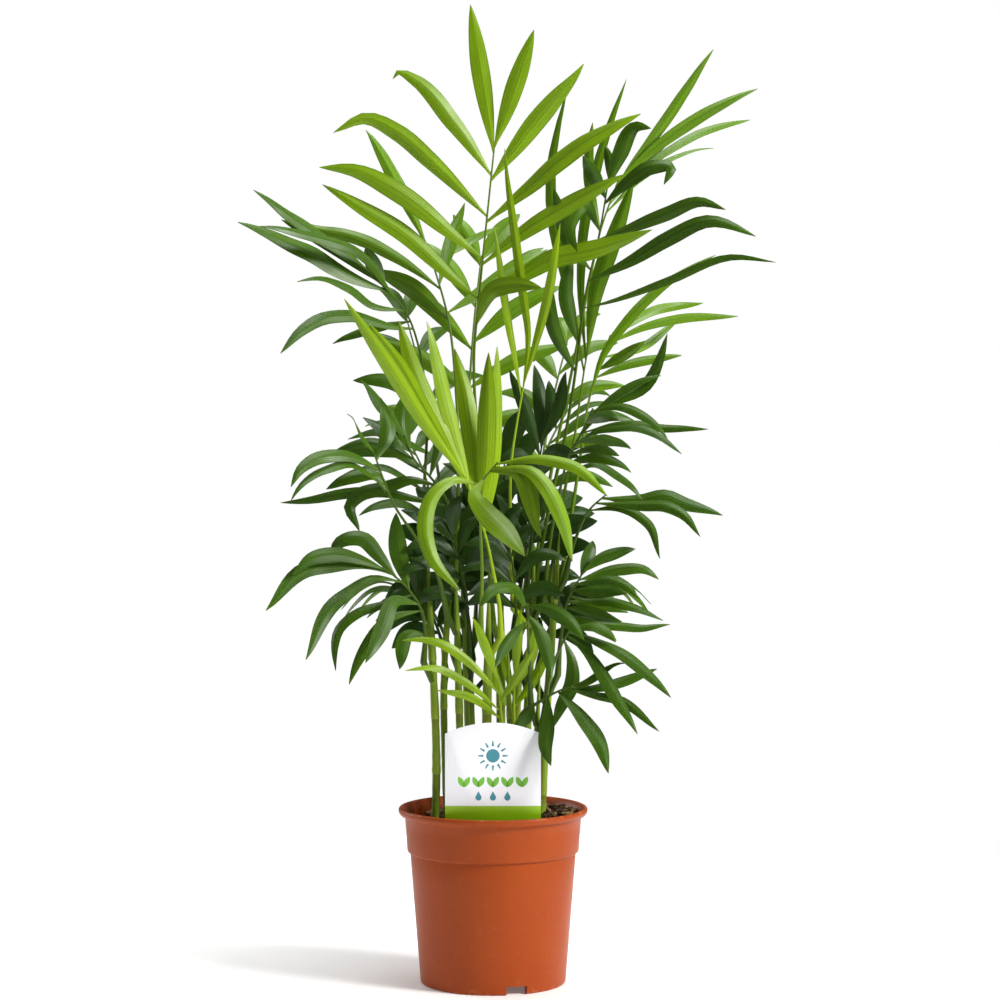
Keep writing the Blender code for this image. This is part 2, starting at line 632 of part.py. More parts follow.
def along(points, shares):
    """Places and unit tangents at those shares of the length of a smooth curve through the points."""
    p = np.array(points, float)
    knots = np.concatenate([[0], np.cumsum(np.linalg.norm(np.diff(p, axis=0), axis=1))])
    slopes = np.gradient(p, knots, axis=0)
    u = np.linspace(0, knots[-1], 160)
    i = np.clip(np.searchsorted(knots, u, side="right") - 1, 0, len(p) - 2)
    width = (knots[i + 1] - knots[i])[:, None]
    h = (u - knots[i])[:, None] / width
    fine = (
        (2 * h**3 - 3 * h**2 + 1) * p[i] + (h**3 - 2 * h**2 + h) * width * slopes[i]
        + (3 * h**2 - 2 * h**3) * p[i + 1] + (h**3 - h**2) * width * slopes[i + 1]
    )
    run = np.concatenate([[0], np.cumsum(np.linalg.norm(np.diff(fine, axis=0), axis=1))])
    at = np.asarray(shares, float) * run[-1]
    places = np.stack([np.interp(at, run, fine[:, k]) for k in range(3)], axis=1)
    ahead = np.stack([np.interp(at + 0.5, run, fine[:, k]) for k in range(3)], axis=1)
    behind = np.stack([np.interp(at - 0.5, run, fine[:, k]) for k in range(3)], axis=1)
    tangents = ahead - behind
    tangents /= np.linalg.norm(tangents, axis=1)[:, None]
    return [Vector(x) for x in places], [Vector(x) for x in tangents], run[-1]


def tube_mesh(name, centres, radii, sides):
    """A tube of flat-ended rings round a line of centres."""
    points, faces = [], []
    for centre, radius in zip(centres, radii):
        for k in range(sides):
            turn = math.tau * (k + 0.5) / sides
            points.append(Vector(centre) + Vector((math.cos(turn), math.sin(turn), 0)) * radius)
    for ring in range(len(centres) - 1):
        low, high = ring * sides, (ring + 1) * sides
        for k in range(sides):
            nxt = (k + 1) % sides
            faces.append((low + k, low + nxt, high + nxt, high + k))
    faces.append(tuple(range(sides - 1, -1, -1)))
    faces.append(tuple(range(len(points) - sides, len(points))))
    return solid(name, points, faces)


def make_canes():
    for name, (stations, foot, top) in CANES.items():
        shares = np.linspace(0, 1, 5)
        centres, _, _ = along(stations, shares)
        radii = [foot + (top - foot) * share for share in shares]
        add_object(name, tube_mesh(name, centres, radii, CANE_SIDES), "cane").data.shade_smooth()


def seen(x, z, y):
    """Where a point drawn at x, z in the front view lies, when it is y deep."""
    scale = (y - EYE[1]) / -EYE[1]
    return Vector((EYE[0] + (x - EYE[0]) * scale, y, EYE[2] + (z - EYE[2]) * scale))


def unit_normal_to(face, tangent):
    return (face - tangent * face.dot(tangent)).normalized()


def drawn_frond(age, face, turn, midrib, leaflets):
    """A frond's midrib points and its leaflets as (path, width, swing axis)."""
    rib = [seen(x, z, y) for x, y, z in midrib]
    depth_at = lambda z: float(np.interp(z, [p[2] for p in midrib], [p[1] for p in midrib]))
    sprays = []
    for width, depth, *flat in leaflets:
        spots = list(zip(flat[::2], flat[1::2]))
        steps = np.hypot(*np.diff(np.array(spots, float), axis=0).T)
        shares = np.concatenate([[0], np.cumsum(steps)]) / steps.sum()
        root_depth = depth_at(spots[0][1])
        path = [
            seen(x, z, root_depth + depth * share + turn * abs(x - spots[0][0]))
            for (x, z), share in zip(spots, shares)
        ]
        sprays.append((path, width, Vector((0, 1, 0))))
    return age, Vector(face).normalized(), rib, sprays


def leaning_frond(age, face, midrib, pairs, reach, width, hang):
    """The same for a frond whose leaflets follow a rule: longest mid way, turning forward at its tip."""
    face = Vector(face).normalized()
    rib = [Vector(p) for p in midrib]
    shares = np.linspace(0.5, 0.985, pairs)
    places, tangents, _ = along(rib, shares)
    sprays = []
    for i, (place, tangent) in enumerate(zip(places, tangents)):
        out = tangent.cross(face).normalized()
        opening = math.radians(66 - 38 * i / (pairs - 1))
        length = reach * (1 - 0.3 * abs(2 * i / (pairs - 1) - 0.8) ** 1.5)
        for side in (1, -1):
            way = tangent * math.cos(opening) + out * side * math.sin(opening)
            root = place + tangent * 2.0 * side
            down = Vector((0, 0, -1)) * hang * length
            path = [root, root + way * length * 0.5 - down * 0.12, root + way * length * 0.95 + down]
            sprays.append((path, width, face))
    return age, face, rib, sprays


def root_shares(rib, sprays):
    """Where each leaflet leaves the midrib, as shares of its length, in order and well apart."""
    fine = np.linspace(0, 1, 400)
    places, _, length = along(rib, fine)
    line = np.array(places)
    wanted = [fine[np.argmin(np.linalg.norm(line - np.array(path[0]), axis=1))] for path, _, _ in sprays]
    order = sorted(range(len(sprays)), key=lambda i: (wanted[i], i))
    gap = LEAFLET_SPACING / length
    limit = 1 - (ROOT_HALF + 0.6) / length
    shares = [wanted[i] for i in order]
    for k in range(1, len(shares)):
        shares[k] = max(shares[k], shares[k - 1] + gap)
    for k in range(len(shares) - 1, -1, -1):
        most = limit if k == len(shares) - 1 else shares[k + 1] - gap
        shares[k] = min(shares[k], most)
    return order, shares, length


def midrib_rings(rib, face, shares):
    """Square rings along the midrib: corners right-front, right-back, left-back, left-front."""
    places, tangents, _ = along(rib, shares)
    rings = []
    for share, place, tangent in zip(shares, places, tangents):
        half = MIDRIB_FOOT + (MIDRIB_TIP - MIDRIB_FOOT) * share
        right = tangent.cross(face).normalized()
        front = right.cross(tangent).normalized()
        corners = [(1, 1), (1, -1), (-1, -1), (-1, 1)]
        rings.append([place + right * half * a + front * half * b for a, b in corners])
    return rings


def blade_stations(path):
    """Shares of a leaflet's length where it has a ring: more of them the more it bends."""
    _, tangents, _ = along(path, np.linspace(0, 1, 12))
    bend = sum(a.angle(b) for a, b in zip(tangents, tangents[1:]))
    count = 3 + min(3, int(bend / math.radians(45)))
    return np.linspace(0.32, 0.84, count - 1)


def blade_width(share):
    """Width of a blade along its length, as a share of its widest: slim foot, long pointed tip."""
    return math.sin(math.pi * share**0.95) ** 0.7


def blade_rings(path, width, face, side, extra=0.0):
    """Rings of a leaflet past its root, as near-front, near-back, far-back, far-front, and its tip."""
    first = 8.0
    _, _, length = along(path, [0, 1])
    shares = [min(0.15, first / length), *blade_stations(path)]
    places, tangents, _ = along(path, shares + [1.0])
    rings = []
    for share, place, tangent in zip(shares, places, tangents):
        front = unit_normal_to(face, tangent)
        far = front.cross(tangent) * side
        half = max(1.0, width * blade_width(share)) / 2 + extra
        if share == shares[0]:
            half = min(half, 1.6) + extra
        deep = BLADE_THICK / 2 + extra
        corners = [(-1, 1), (-1, -1), (1, -1), (1, 1)]
        rings.append([place + far * half * a + front * deep * b for a, b in corners])
    return rings, places[-1]


def swung(path, axis, amount):
    """The path with its tip moved that far along the axis, and the rest in proportion."""
    steps = [0.0]
    for a, b in zip(path, path[1:]):
        steps.append(steps[-1] + (b - a).length)
    return [p + axis * amount * step / steps[-1] for p, step in zip(path, steps)]


def quads_between(a, b):
    return [(a[k], a[(k + 1) % 4], b[(k + 1) % 4], b[k]) for k in range(4)]


class Neighbours:
    """What has been placed so far, to keep new leaflets clear of it."""

    def __init__(self):
        self.placed = []

    def add(self, points, faces):
        p = np.array(points)
        self.placed.append((p.min(axis=0), p.max(axis=0), BVHTree.FromPolygons(points, faces)))

    def clear(self, points, faces):
        p = np.array(points)
        low, high = p.min(axis=0), p.max(axis=0)
        tree = None
        for other_low, other_high, other in self.placed:
            if (low > other_high).any() or (high < other_low).any():
                continue
            tree = tree or BVHTree.FromPolygons(points, faces)
            if tree.overlap(other):
                return False
        return True


def blade_shell(rings, tip):
    """Points and faces of a leaflet on its own, for the clearance test."""
    points = [p for ring in rings for p in ring] + [tip]
    faces = [(0, 1, 2, 3)]
    index = [list(range(4 * k, 4 * k + 4)) for k in range(len(rings))]
    for a, b in zip(index, index[1:]):
        faces += quads_between(a, b)
    faces += [(index[-1][k], index[-1][(k + 1) % 4], len(points) - 1) for k in range(4)]
    return points, faces


def make_frond(name, age, face, rib, sprays, neighbours):
    order, shares, length = root_shares(rib, sprays)
    half = ROOT_HALF / length
    stations, grows_at = [0.0, 0.12, 0.25], {}
    stations = [s for s in stations if s < shares[0] - 2 * half]
    stations += [s for s in (0.4, 0.55) if s < shares[0] - 2 * half]
    for i, share in zip(order, shares):
        grows_at[len(stations)] = i
        stations += [share - half, share + half]
    stations.append(1.0)
    rings = midrib_rings(rib, face, stations)
    points = [p for ring in rings for p in ring]
    faces = [(3, 2, 1, 0), tuple(range(len(points) - 4, len(points)))]
    _, tangents, _ = along(rib, stations)
    for k in range(len(stations) - 1):
        low, high = [4 * k + c for c in range(4)], [4 * k + 4 + c for c in range(4)]
        sides = quads_between(low, high)
        if k in grows_at:
            path, width, axis = sprays[grows_at[k]]
            right = tangents[k].cross(face)
            side = 1 if (path[1] - path[0]).dot(right) >= 0 else -1
            if side > 0:
                root = [low[0], low[1], high[1], high[0]]
                sides.pop(0)
            else:
                root = [low[3], low[2], high[2], high[3]]
                sides.pop(2)
            rings_here, tip = clear_blade(name, path, width, axis, face, side, neighbours)
            ring = root
            for corners in rings_here:
                grown = list(range(len(points), len(points) + 4))
                points += corners
                faces += quads_between(ring, grown)
                ring = grown
            points.append(tip)
            faces += [(ring[c], ring[(c + 1) % 4], len(points) - 1) for c in range(4)]
        faces += sides
    thing = add_object(name, solid(name, points, faces), age)
    thing.data.shade_smooth()


def clear_blade(name, path, width, axis, face, side, neighbours):
    """The leaflet's rings at the first swing that keeps it clear of everything placed before."""
    for slim in SLIMMER:
        for amount in SWINGS:
            moved = swung(path, axis, amount)
            thick = blade_shell(*blade_rings(moved, width * slim, face, side, GAP))
            if neighbours.clear(*thick):
                rings, tip = blade_rings(moved, width * slim, face, side)
                neighbours.add(*blade_shell(rings, tip))
                return rings, tip
    print("no clear place for a leaflet of", name, [round(c) for c in path[-1]])
    return blade_rings(path, width * SLIMMER[-1], face, side)


def outline_of(mesh):
    return [v.co / MM for v in mesh.vertices], [tuple(f.vertices) for f in mesh.polygons]


def make_fronds():
    fronds = {name: drawn_frond(*spec) for name, spec in DRAWN.items()}
    fronds.update({name: leaning_frond(*spec) for name, spec in LEANING.items()})
    neighbours = Neighbours()
    for thing in bpy.data.objects:
        if not thing.hide_render:
            neighbours.add(*outline_of(thing.data))
    for name, (_, face, rib, sprays) in fronds.items():
        rings = midrib_rings(rib, face, np.linspace(0, 1, 14))
        points = [p for ring in rings for p in ring]
        faces = []
        for k in range(len(rings) - 1):
            faces += quads_between([4 * k + c for c in range(4)], [4 * k + 4 + c for c in range(4)])
        if not neighbours.clear(points, faces):
            print("the midrib is in the way:", name)
        neighbours.add(points, faces)
    for name, (age, face, rib, sprays) in fronds.items():
        make_frond(name, age, face, rib, sprays, neighbours)


clear_scene()
make_pot()
make_soil()
make_label()
make_canes()
make_fronds()
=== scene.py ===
"""Looks of a parlour palm in a plastic nursery pot.

Every leaf, cane, crumb of bark and turn of the pot is modelled here over the frame's solids. Lengths are in
millimetres and become metres when a piece is finished. The front of the plant faces -Y.
"""

import math
import random

import bmesh
import bpy
import numpy as np
from mathutils import Matrix, Vector, noise


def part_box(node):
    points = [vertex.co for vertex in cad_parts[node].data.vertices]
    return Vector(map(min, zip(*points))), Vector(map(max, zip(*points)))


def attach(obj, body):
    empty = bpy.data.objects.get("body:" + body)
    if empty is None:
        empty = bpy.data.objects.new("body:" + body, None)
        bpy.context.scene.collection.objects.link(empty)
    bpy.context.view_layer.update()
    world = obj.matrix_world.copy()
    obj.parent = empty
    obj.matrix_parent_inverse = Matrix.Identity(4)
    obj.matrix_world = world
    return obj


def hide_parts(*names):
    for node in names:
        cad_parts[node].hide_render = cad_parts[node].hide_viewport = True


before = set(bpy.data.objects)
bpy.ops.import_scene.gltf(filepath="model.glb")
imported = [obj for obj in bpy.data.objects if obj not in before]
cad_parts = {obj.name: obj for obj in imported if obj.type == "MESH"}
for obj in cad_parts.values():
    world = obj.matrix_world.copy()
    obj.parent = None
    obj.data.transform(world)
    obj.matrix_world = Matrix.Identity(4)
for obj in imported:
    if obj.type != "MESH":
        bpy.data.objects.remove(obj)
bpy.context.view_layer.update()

MM = 0.001
POT_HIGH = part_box("pot")[1] / MM
SOIL_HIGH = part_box("soil")[1] / MM
LABEL_LOW, LABEL_HIGH = (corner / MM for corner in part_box("plant_label"))

# Radii and heights of the pot, worked from its rim.
RIM_RADIUS, POT_HEIGHT = POT_HIGH.x, POT_HIGH.z
FOOT_RADIUS = RIM_RADIUS - 14
BODY_TOP_RADIUS, BODY_TOP = RIM_RADIUS - 7.4, POT_HEIGHT - 28.9
BAND_LOW_RADIUS, BAND_LOW = RIM_RADIUS - 5.5, POT_HEIGHT - 26.5
BAND_TOP_RADIUS, BAND_TOP = RIM_RADIUS - 4, POT_HEIGHT - 5
POT_WALL, POT_SIDES = 1.2, 128
FLOOR_UNDER, FLOOR_TOP = 6.0, 7.4
FOOT_RING_INNER = FOOT_RADIUS - 4
BOSS_RADIUS = 9.0
DRAIN_HOLES, DRAIN_RADIUS, DRAIN_CIRCLE = 6, 3.5, 28.0
NOTCHES, NOTCH_WIDTH, NOTCH_HEIGHT, NOTCH_TURN = 3, 13.5, 5.5, 19.0

SOIL_TOP = SOIL_HIGH.z - 1.6
CHIPS, FIBRES = 620, 90
# A chip's length, width and thickness lie between these shares of its size.
CHIP_SHAPE = (1.0, 1.9), (0.5, 1.0), (0.3, 0.6)

LABEL_FOOT = SOIL_TOP + 2.4
LABEL_SHOULDER = LABEL_HIGH.z - 6.9
LABEL_BAND = LABEL_FOOT + 12.5
STAKE_HALF = 8.0

CANE_ROOT = 92.0
CANE_SIDES = 14
CANE_TIP = 34.0

# The leaves are drawn as the front view shows them from this eye point, at the height of mid plant.
EYE = (4.0, -2050.0, 410.0)
# The camera stands there too. It looks at this point, and takes in so wide a view at its distance.
LOOK_AT = (4.4, 0.0, 307.0)
VIEW_WIDTH = 632.0
SENSOR = 36.0

# The leaflet that every blade is a copy of, before it is bent to its own line.
BLADE_LENGTH, BLADE_WIDTH, BLADE_THICK = 100.0, 12.0, 0.32
BLADE_ACROSS, BLADE_ALONG = 6, 18
FULLNESS = 1.08
# The least distance between two leaflets on a midrib, and half the width that a leaflet starts with.
LEAFLET_SPACING, ROOT_HALF = 3.4, 1.3
PETIOLE_RADIUS, MIDRIB_RADIUS = 1.45, 0.5
# The furthest that a leaflet of the frame was swung to stand clear of its neighbours.
MOST_SWING = 60.0

# Canes: stations (x, y, z), radius at the foot, radius at the top.

CANES = {
    "cane_left": ([(-37, 0, CANE_ROOT), (-36, 1, 130), (-40, 2, 240)], 2.6, 2.2),
    "cane_left_pale": ([(-29, 10, CANE_ROOT), (-31, 9, 200), (-27, 9, 258)], 2.4, 1.8),
    "cane_brown": ([(-19, -4, CANE_ROOT), (-21, -4, 160), (-23, -4, 235)], 2.6, 2.0),
    "cane_slim": ([(-12, 12, CANE_ROOT), (-13, 12, 150), (-15, 12, 205)], 2.2, 1.8),
    "cane_centre": ([(-4, -8, CANE_ROOT), (-4, -8, 160), (-3, -8, 222)], 3.6, 2.4),
    "cane_centre_rear": ([(5, 6, CANE_ROOT), (5, 6, 160), (5, 6, 232)], 3.4, 2.2),
    "cane_young": ([(12, -10, CANE_ROOT), (11, -10, 140), (10, -11, 186)], 2.2, 1.6),
    "cane_tall": ([(19, 2, CANE_ROOT), (22, 2, 170), (25, 3, 245)], 3.0, 2.2),
    "cane_low_right": ([(25, -12, CANE_ROOT), (26, -13, 130), (28, -14, 170)], 2.4, 1.8),
    "cane_right": ([(30, 8, CANE_ROOT), (34, 7, 170), (40, 6, 256)], 2.8, 2.0),
    "cane_rear_left": ([(-14, 27, CANE_ROOT), (-16, 29, 160), (-18, 31, 226)], 2.8, 2.2),
    "cane_rear_right": ([(13, 25, CANE_ROOT), (15, 27, 160), (17, 30, 234)], 2.8, 2.2),
}

# Fronds drawn in the front view. Each has its age, the way its blades face, how steeply its leaflets turn
# back (+) or forward (-) as they go sideways, its midrib from the foot of the petiole (x and z as seen, y as
# it is), and its leaflets: width, how much further back the tip lies than its root for any other reason,
# then the x and z of the points that the leaflet passes through from the midrib to its tip.
DRAWN = {
    "frond_crown": (
        "fresh", (0, -1, 0.25), 0,
        [
            (0, 0, 228), (-4, -1, 290), (-10, -2, 350), (-12, -3, 400), (-9, -5, 434), (-4, -9, 483),
            (1, -13, 531),
        ],
        [
            (11, -30, -12, 418, 0, 440, 15, 443, 30, 441),
            (11, -12, -9, 434, -25, 447, -60, 478, -80, 490, -107, 506),
            (12, -26, -9, 436, 15, 447, 40, 460, 60, 464, 100, 477),
            (12, -22, -7, 457, -25, 474, -60, 501, -90, 515, -109, 516),
            (12, -22, -7, 456, 20, 477, 45, 492, 82, 512),
            (11, -16, -4, 483, -40, 521, -60, 538, -80, 547, -100, 538),
            (12, -18, -4, 482, 20, 502, 50, 527, 92, 551),
            (11, -10, -1, 509, -25, 545, -50, 572, -60, 576, -63, 572), (12, -14, 0, 508, 30, 548, 58, 580),
            (11, -14, 1, 529, -7, 572, -14, 618), (11, -18, 1, 529, 15, 570, 26, 602),
        ],
    ),
    "frond_upper_left": (
        "mature", (0.2, -1, 0.3), 0.25,
        [(-24, 14, 256), (-22, 19, 310), (-23, 26, 370), (-29, 34, 425), (-36, 40, 450), (-43, 46, 471)],
        [
            (12, 26, -28, 421, -50, 440, -75, 452), (9, 16, -29, 425, -10, 437, 5, 448, 35, 465),
            (9, 20, -33, 440, -50, 453, -90, 474, -110, 478, -130, 485),
            (10, 12, -34, 443, -26, 470, -17, 494), (5, 24, -38, 456, -15, 470, 5, 480),
            (7, 30, -42, 466, -56, 500, -76, 538), (8, 22, -43, 470, -60, 505, -79, 541),
        ],
    ),
    "frond_far_left": (
        "dark", (0.1, -0.8, 0.6), -0.3,
        [(-42, 7, 238), (-44, 11, 300), (-42, 11, 360), (-46, 8, 400), (-54, 4, 424), (-76, -8, 449)],
        [
            (10, -40, -50, 415, -60, 416, -90, 424, -105, 423, -120, 415, -134, 400),
            (8, 30, -52, 420, -70, 417, -85, 413, -102, 407),
            (8, -30, -56, 426, -75, 430, -90, 441, -105, 447, -123, 447),
            (9, -22, -62, 434, -85, 464, -100, 470, -120, 475, -144, 481),
            (12, -10, -66, 438, -90, 448, -115, 463, -135, 472, -159, 484),
            (10, 24, -68, 441, -75, 455, -82, 467), (8, 14, -71, 445, -100, 466, -133, 484),
            (10, 6, -75, 448, -90, 460, -130, 488, -150, 503),
        ],
    ),
    "frond_fan": (
        "young", (0.15, -1, 0.1), -0.1,
        [(5, -15, 220), (4, -18, 240), (0, -23, 262), (-5, -28, 285), (-12, -33, 305), (-17, -38, 322)],
        [
            (9, 6, -5, 287, 0, 320, 2, 360, 3, 404), (12, 0, -8, 295, -5, 330, -4, 360, -3, 400),
            (12, -8, -11, 303, -13, 340, -17, 370, -25, 403),
            (10, -14, -13, 309, -22, 340, -30, 370, -41, 420),
            (13, -20, -15, 314, -30, 345, -45, 375, -60, 420),
            (8, -26, -16, 318, -45, 368, -62, 398, -78, 418),
            (10, -32, -17, 321, -40, 352, -65, 392, -92, 433),
        ],
    ),
    "frond_weeping": (
        "fresh", (0, -1, 0.5), -0.3,
        [(-8, -15, 224), (-7, -28, 262), (-8, -48, 296), (-7, -62, 318), (3, -72, 331)],
        [
            (10, -24, -8, 316, -25, 320, -38, 310, -43, 290, -38, 270, -20, 249),
            (14, -40, -6, 320, -12, 310, -5, 300, 5, 290, 20, 273),
            (11, -34, -2, 325, 15, 325, 25, 300, 28, 284), (10, -28, 1, 329, 25, 325, 42, 300, 50, 270),
            (8, -18, 3, 331, 20, 333, 40, 332, 52, 328, 72, 310),
        ],
    ),
    "frond_left_middle": (
        "dark", (0.2, -0.8, 0.6), -0.1,
        [(-29, -8, 234), (-36, -17, 262), (-50, -28, 285), (-62, -37, 303), (-70, -44, 322), (-76, -50, 339)],
        [
            (9, -26, -64, 308, -75, 323, -90, 321, -107, 313),
            (8, -46, -68, 316, -92, 330, -105, 327, -120, 318, -129, 309),
            (9, -34, -71, 325, -80, 331, -110, 334, -122, 326, -127, 317),
            (10, 18, -74, 332, -66, 352, -70, 372), (7, -18, -76, 338, -84, 350, -90, 363),
        ],
    ),
    "frond_left_inner": (
        "dark", (0.1, -0.9, 0.4), 0.4,
        [(-29, 3.5, 252), (-25, 0, 285), (-30, -4, 308), (-40, -7, 322), (-50, -9, 333), (-56, -10, 348)],
        [
            (7, -30, -28, 303, -50, 308, -70, 312, -95, 311, -115, 307, -135, 305),
            (10, -24, -35, 316, -50, 320, -70, 315, -84, 311, -90, 305, -84, 288),
            (9, 20, -40, 322, -32, 350, -34, 380), (11, 8, -46, 328, -62, 340, -70, 352, -82, 360),
            (9, -12, -50, 333, -65, 337, -80, 339, -107, 331), (12, 4, -52, 338, -57, 355, -54, 376),
            (9, 16, -55, 346, -68, 364, -82, 384),
        ],
    ),
    "frond_low_left": (
        "dark", (0.1, -0.8, 0.6), -0.15,
        [(-44, -4, 204), (-43, -6, 222), (-45, -10, 236), (-54, -17, 251), (-64, -23, 260), (-70, -27, 264)],
        [
            (9, -8, -43, 222, -53, 222, -59, 200), (8, -20, -45, 237, -66, 232, -80, 215, -92, 191),
            (10, -40, -47, 241, -62, 243, -70, 225, -80, 205),
            (8, -30, -51, 247, -72, 240, -85, 236, -98, 225, -103, 197),
            (11, 6, -53, 250, -60, 275, -62, 299),
            (9, -44, -58, 255, -75, 258, -90, 250, -102, 240, -118, 206),
            (11, 10, -61, 258, -72, 272, -82, 283, -97, 281, -103, 268),
            (10, -34, -64, 260, -80, 266, -100, 266, -120, 262, -144, 236),
            (10, -20, -68, 263, -85, 270, -100, 273, -115, 270, -126, 260),
        ],
    ),
    "frond_low_centre": (
        "dark", (0, -1, 0.5), -0.5,
        [(24, -18, 176), (23, -27, 205), (22, -42, 230), (22, -52, 241)],
        [
            (8, -34, 22, 230, 15, 225, 8, 215, 2, 203), (9, -28, 22, 234, 27, 228, 34, 212, 37, 195),
            (8, -14, 22, 237, 12, 252, 0, 250, -8, 240), (9, -22, 22, 240, 35, 238, 48, 230, 57, 220),
        ],
    ),
    "frond_low_right": (
        "dark", (0, -0.9, 0.6), -0.2,
        [(32, -19, 168), (36, -26, 195), (42, -35, 212), (47, -43, 222), (50, -48, 227)],
        [
            (9, -18, 45, 218, 50, 205, 50, 190, 43, 175, 38, 162),
            (8, -34, 47, 221, 58, 212, 70, 195, 80, 178, 92, 160),
            (9, -24, 48, 224, 65, 218, 85, 208, 100, 195, 113, 183), (8, -10, 50, 226, 65, 227, 78, 219),
        ],
    ),
    "frond_lowest": (
        "dark", (0, -0.9, 0.6), -0.2,
        [(16, -17, 164), (20, -24, 173), (28, -32, 178), (40, -44, 185), (50, -53, 189)],
        [
            (8, -6, 26, 177, 22, 170, 13, 163), (10, -26, 35, 182, 34, 165, 33, 150, 36, 138),
            (10, -36, 43, 186, 58, 168, 68, 152, 73, 134), (6, -20, 48, 188, 65, 183, 80, 180, 105, 160),
            (7, -12, 47, 188, 60, 192, 72, 200, 83, 205), (7, -6, 50, 189, 60, 187, 80, 190, 105, 198),
        ],
    ),
    "frond_right_low_middle": (
        "dark", (-0.1, -0.9, 0.5), 0.1,
        [(41, -1, 196), (43, -7, 220), (47, -13, 242), (54, -20, 256), (58, -24, 263)],
        [
            (6, -6, 45, 230, 80, 227, 95, 226, 112, 229), (8, -34, 45, 234, 60, 230, 77, 219),
            (7, -22, 46, 239, 62, 236, 80, 230), (7, -12, 47, 243, 70, 240, 86, 236),
            (8, -32, 49, 246, 60, 243, 75, 243, 108, 232), (11, -42, 51, 250, 70, 250, 83, 249),
            (8, -26, 53, 253, 75, 256, 85, 252, 92, 245), (8, -16, 55, 256, 80, 263, 95, 263, 106, 257),
            (8, 12, 56, 259, 60, 270, 64, 282), (8, -2, 57, 261, 68, 270, 90, 277),
        ],
    ),
    "frond_right_middle": (
        "dark", (0, -0.8, 0.7), -0.25,
        [(45, 1, 256), (52, -3, 282), (62, -6, 302), (71, -9, 310)],
        [
            (6, -18, 61, 300, 80, 302, 92, 297, 98, 292, 105, 270),
            (8, -34, 65, 305, 90, 304, 110, 303, 120, 298, 130, 285),
            (10, -24, 69, 308, 95, 307, 110, 309, 120, 305, 146, 298),
        ],
    ),
    "frond_right_upper": (
        "mature", (-0.1, -0.9, 0.5), 0.35,
        [(43, 11, 256), (50, 15, 300), (56, 20, 340), (61, 27, 372), (67, 33, 392), (74, 40, 411)],
        [
            (7, 10, 61, 372, 70, 400, 80, 415, 100, 437, 138, 463),
            (7, -22, 65, 384, 85, 393, 100, 396, 119, 399), (7, -32, 66, 389, 80, 397, 96, 407),
            (6, 28, 69, 396, 90, 402, 117, 421), (6, 2, 68, 394, 78, 412, 93, 433),
            (6, -12, 72, 405, 95, 416, 115, 421, 155, 423), (6, 24, 74, 410, 100, 426, 133, 431),
        ],
    ),
    "frond_right_inner": (
        "dark", (0, -0.9, 0.6), -0.1,
        [(32, -2, 242), (36, -8, 280), (42, -15, 312), (48, -22, 335), (56, -28, 350), (63, -34, 365)],
        [
            (7, -12, 44, 322, 65, 330, 80, 322, 95, 309), (7, -22, 46, 330, 66, 334, 87, 327),
            (8, -32, 48, 336, 62, 340, 79, 336), (6, -36, 50, 340, 60, 348, 80, 353, 95, 352, 118, 338),
            (8, -42, 52, 344, 66, 346, 85, 342), (8, -10, 53, 346, 70, 366, 98, 381, 105, 395, 110, 412),
            (6, -26, 55, 350, 85, 356, 105, 353, 135, 352), (9, -30, 58, 356, 66, 360, 78, 359),
            (6, -4, 60, 360, 85, 378, 105, 387), (6, -18, 63, 364, 80, 366, 95, 360, 110, 348),
        ],
    ),
    "frond_tall_right": (
        "dark", (-0.2, -1, 0.25), -0.15,
        [
            (26, 8, 250), (35, 10, 300), (46, 11, 350), (53, 8, 395), (58, 4, 435), (67, -2, 475),
            (73, -6, 511),
        ],
        [
            (9, -12, 51, 388, 38, 415, 34, 450), (9, -2, 54, 404, 46, 435, 50, 464),
            (5, -16, 57, 428, 70, 431, 110, 445, 150, 460, 178, 457),
            (10, -30, 60, 445, 85, 457, 110, 472, 135, 483, 165, 475),
            (9, -18, 62, 452, 50, 465, 43, 485, 38, 503),
            (9, -22, 66, 471, 90, 480, 110, 488, 130, 495, 146, 490),
            (9, -20, 67, 477, 57, 493, 48, 480, 52, 464),
            (10, -18, 70, 494, 85, 508, 100, 517, 112, 517, 108, 506), (9, -14, 70, 497, 62, 513, 57, 523),
            (10, -10, 71, 504, 80, 525, 90, 542, 99, 541), (6, -4, 73, 509, 73, 520, 71, 531),
        ],
    ),
    "frond_upright_right": (
        "mature", (-0.2, -1, 0.1), 0.2,
        [(35, 12, 248), (43, 20, 300), (52, 22, 350), (58, 21, 392), (60, 20, 403)],
        [
            (7, 8, 57, 388, 45, 450, 38, 480, 36, 505, 45, 565),
            (7, -4, 58, 395, 55, 440, 57, 480, 66, 520, 83, 572),
            (11, -12, 59, 400, 65, 440, 75, 470, 88, 508),
        ],
    ),
    "frond_spear": (
        "young", (0.1, -1, 0.1), 0,
        [(13, -5, 238), (11, -9, 290), (12, -12, 335), (15, -13, 355), (20, -15, 383)],
        [
            (5, -8, 18, 372, 15, 390, 8, 430, 1, 480), (6, -14, 19, 377, 22, 410, 18, 440, 6, 528),
            (6, -2, 20, 381, 25, 400, 33, 430, 42, 480),
        ],
    ),
    "frond_top_right": (
        "mature", (-0.2, -0.9, 0.4), 0.3,
        [(22, 34, 234), (34, 39, 310), (48, 42, 380), (60, 46, 440), (68, 49, 478), (79, 53, 509)],
        [
            (7, 6, 68, 476, 60, 510, 62, 545), (7, 22, 71, 488, 90, 508, 110, 522, 138, 531),
            (6, 28, 73, 493, 100, 525, 125, 547), (7, 16, 75, 499, 100, 520, 130, 538, 162, 547),
            (8, 10, 76, 503, 85, 515, 100, 535, 138, 591), (8, 4, 78, 507, 100, 527, 130, 548, 165, 566),
        ],
    ),
    "frond_inner_dark": (
        "dark", (0, -1, 0.3), 0,
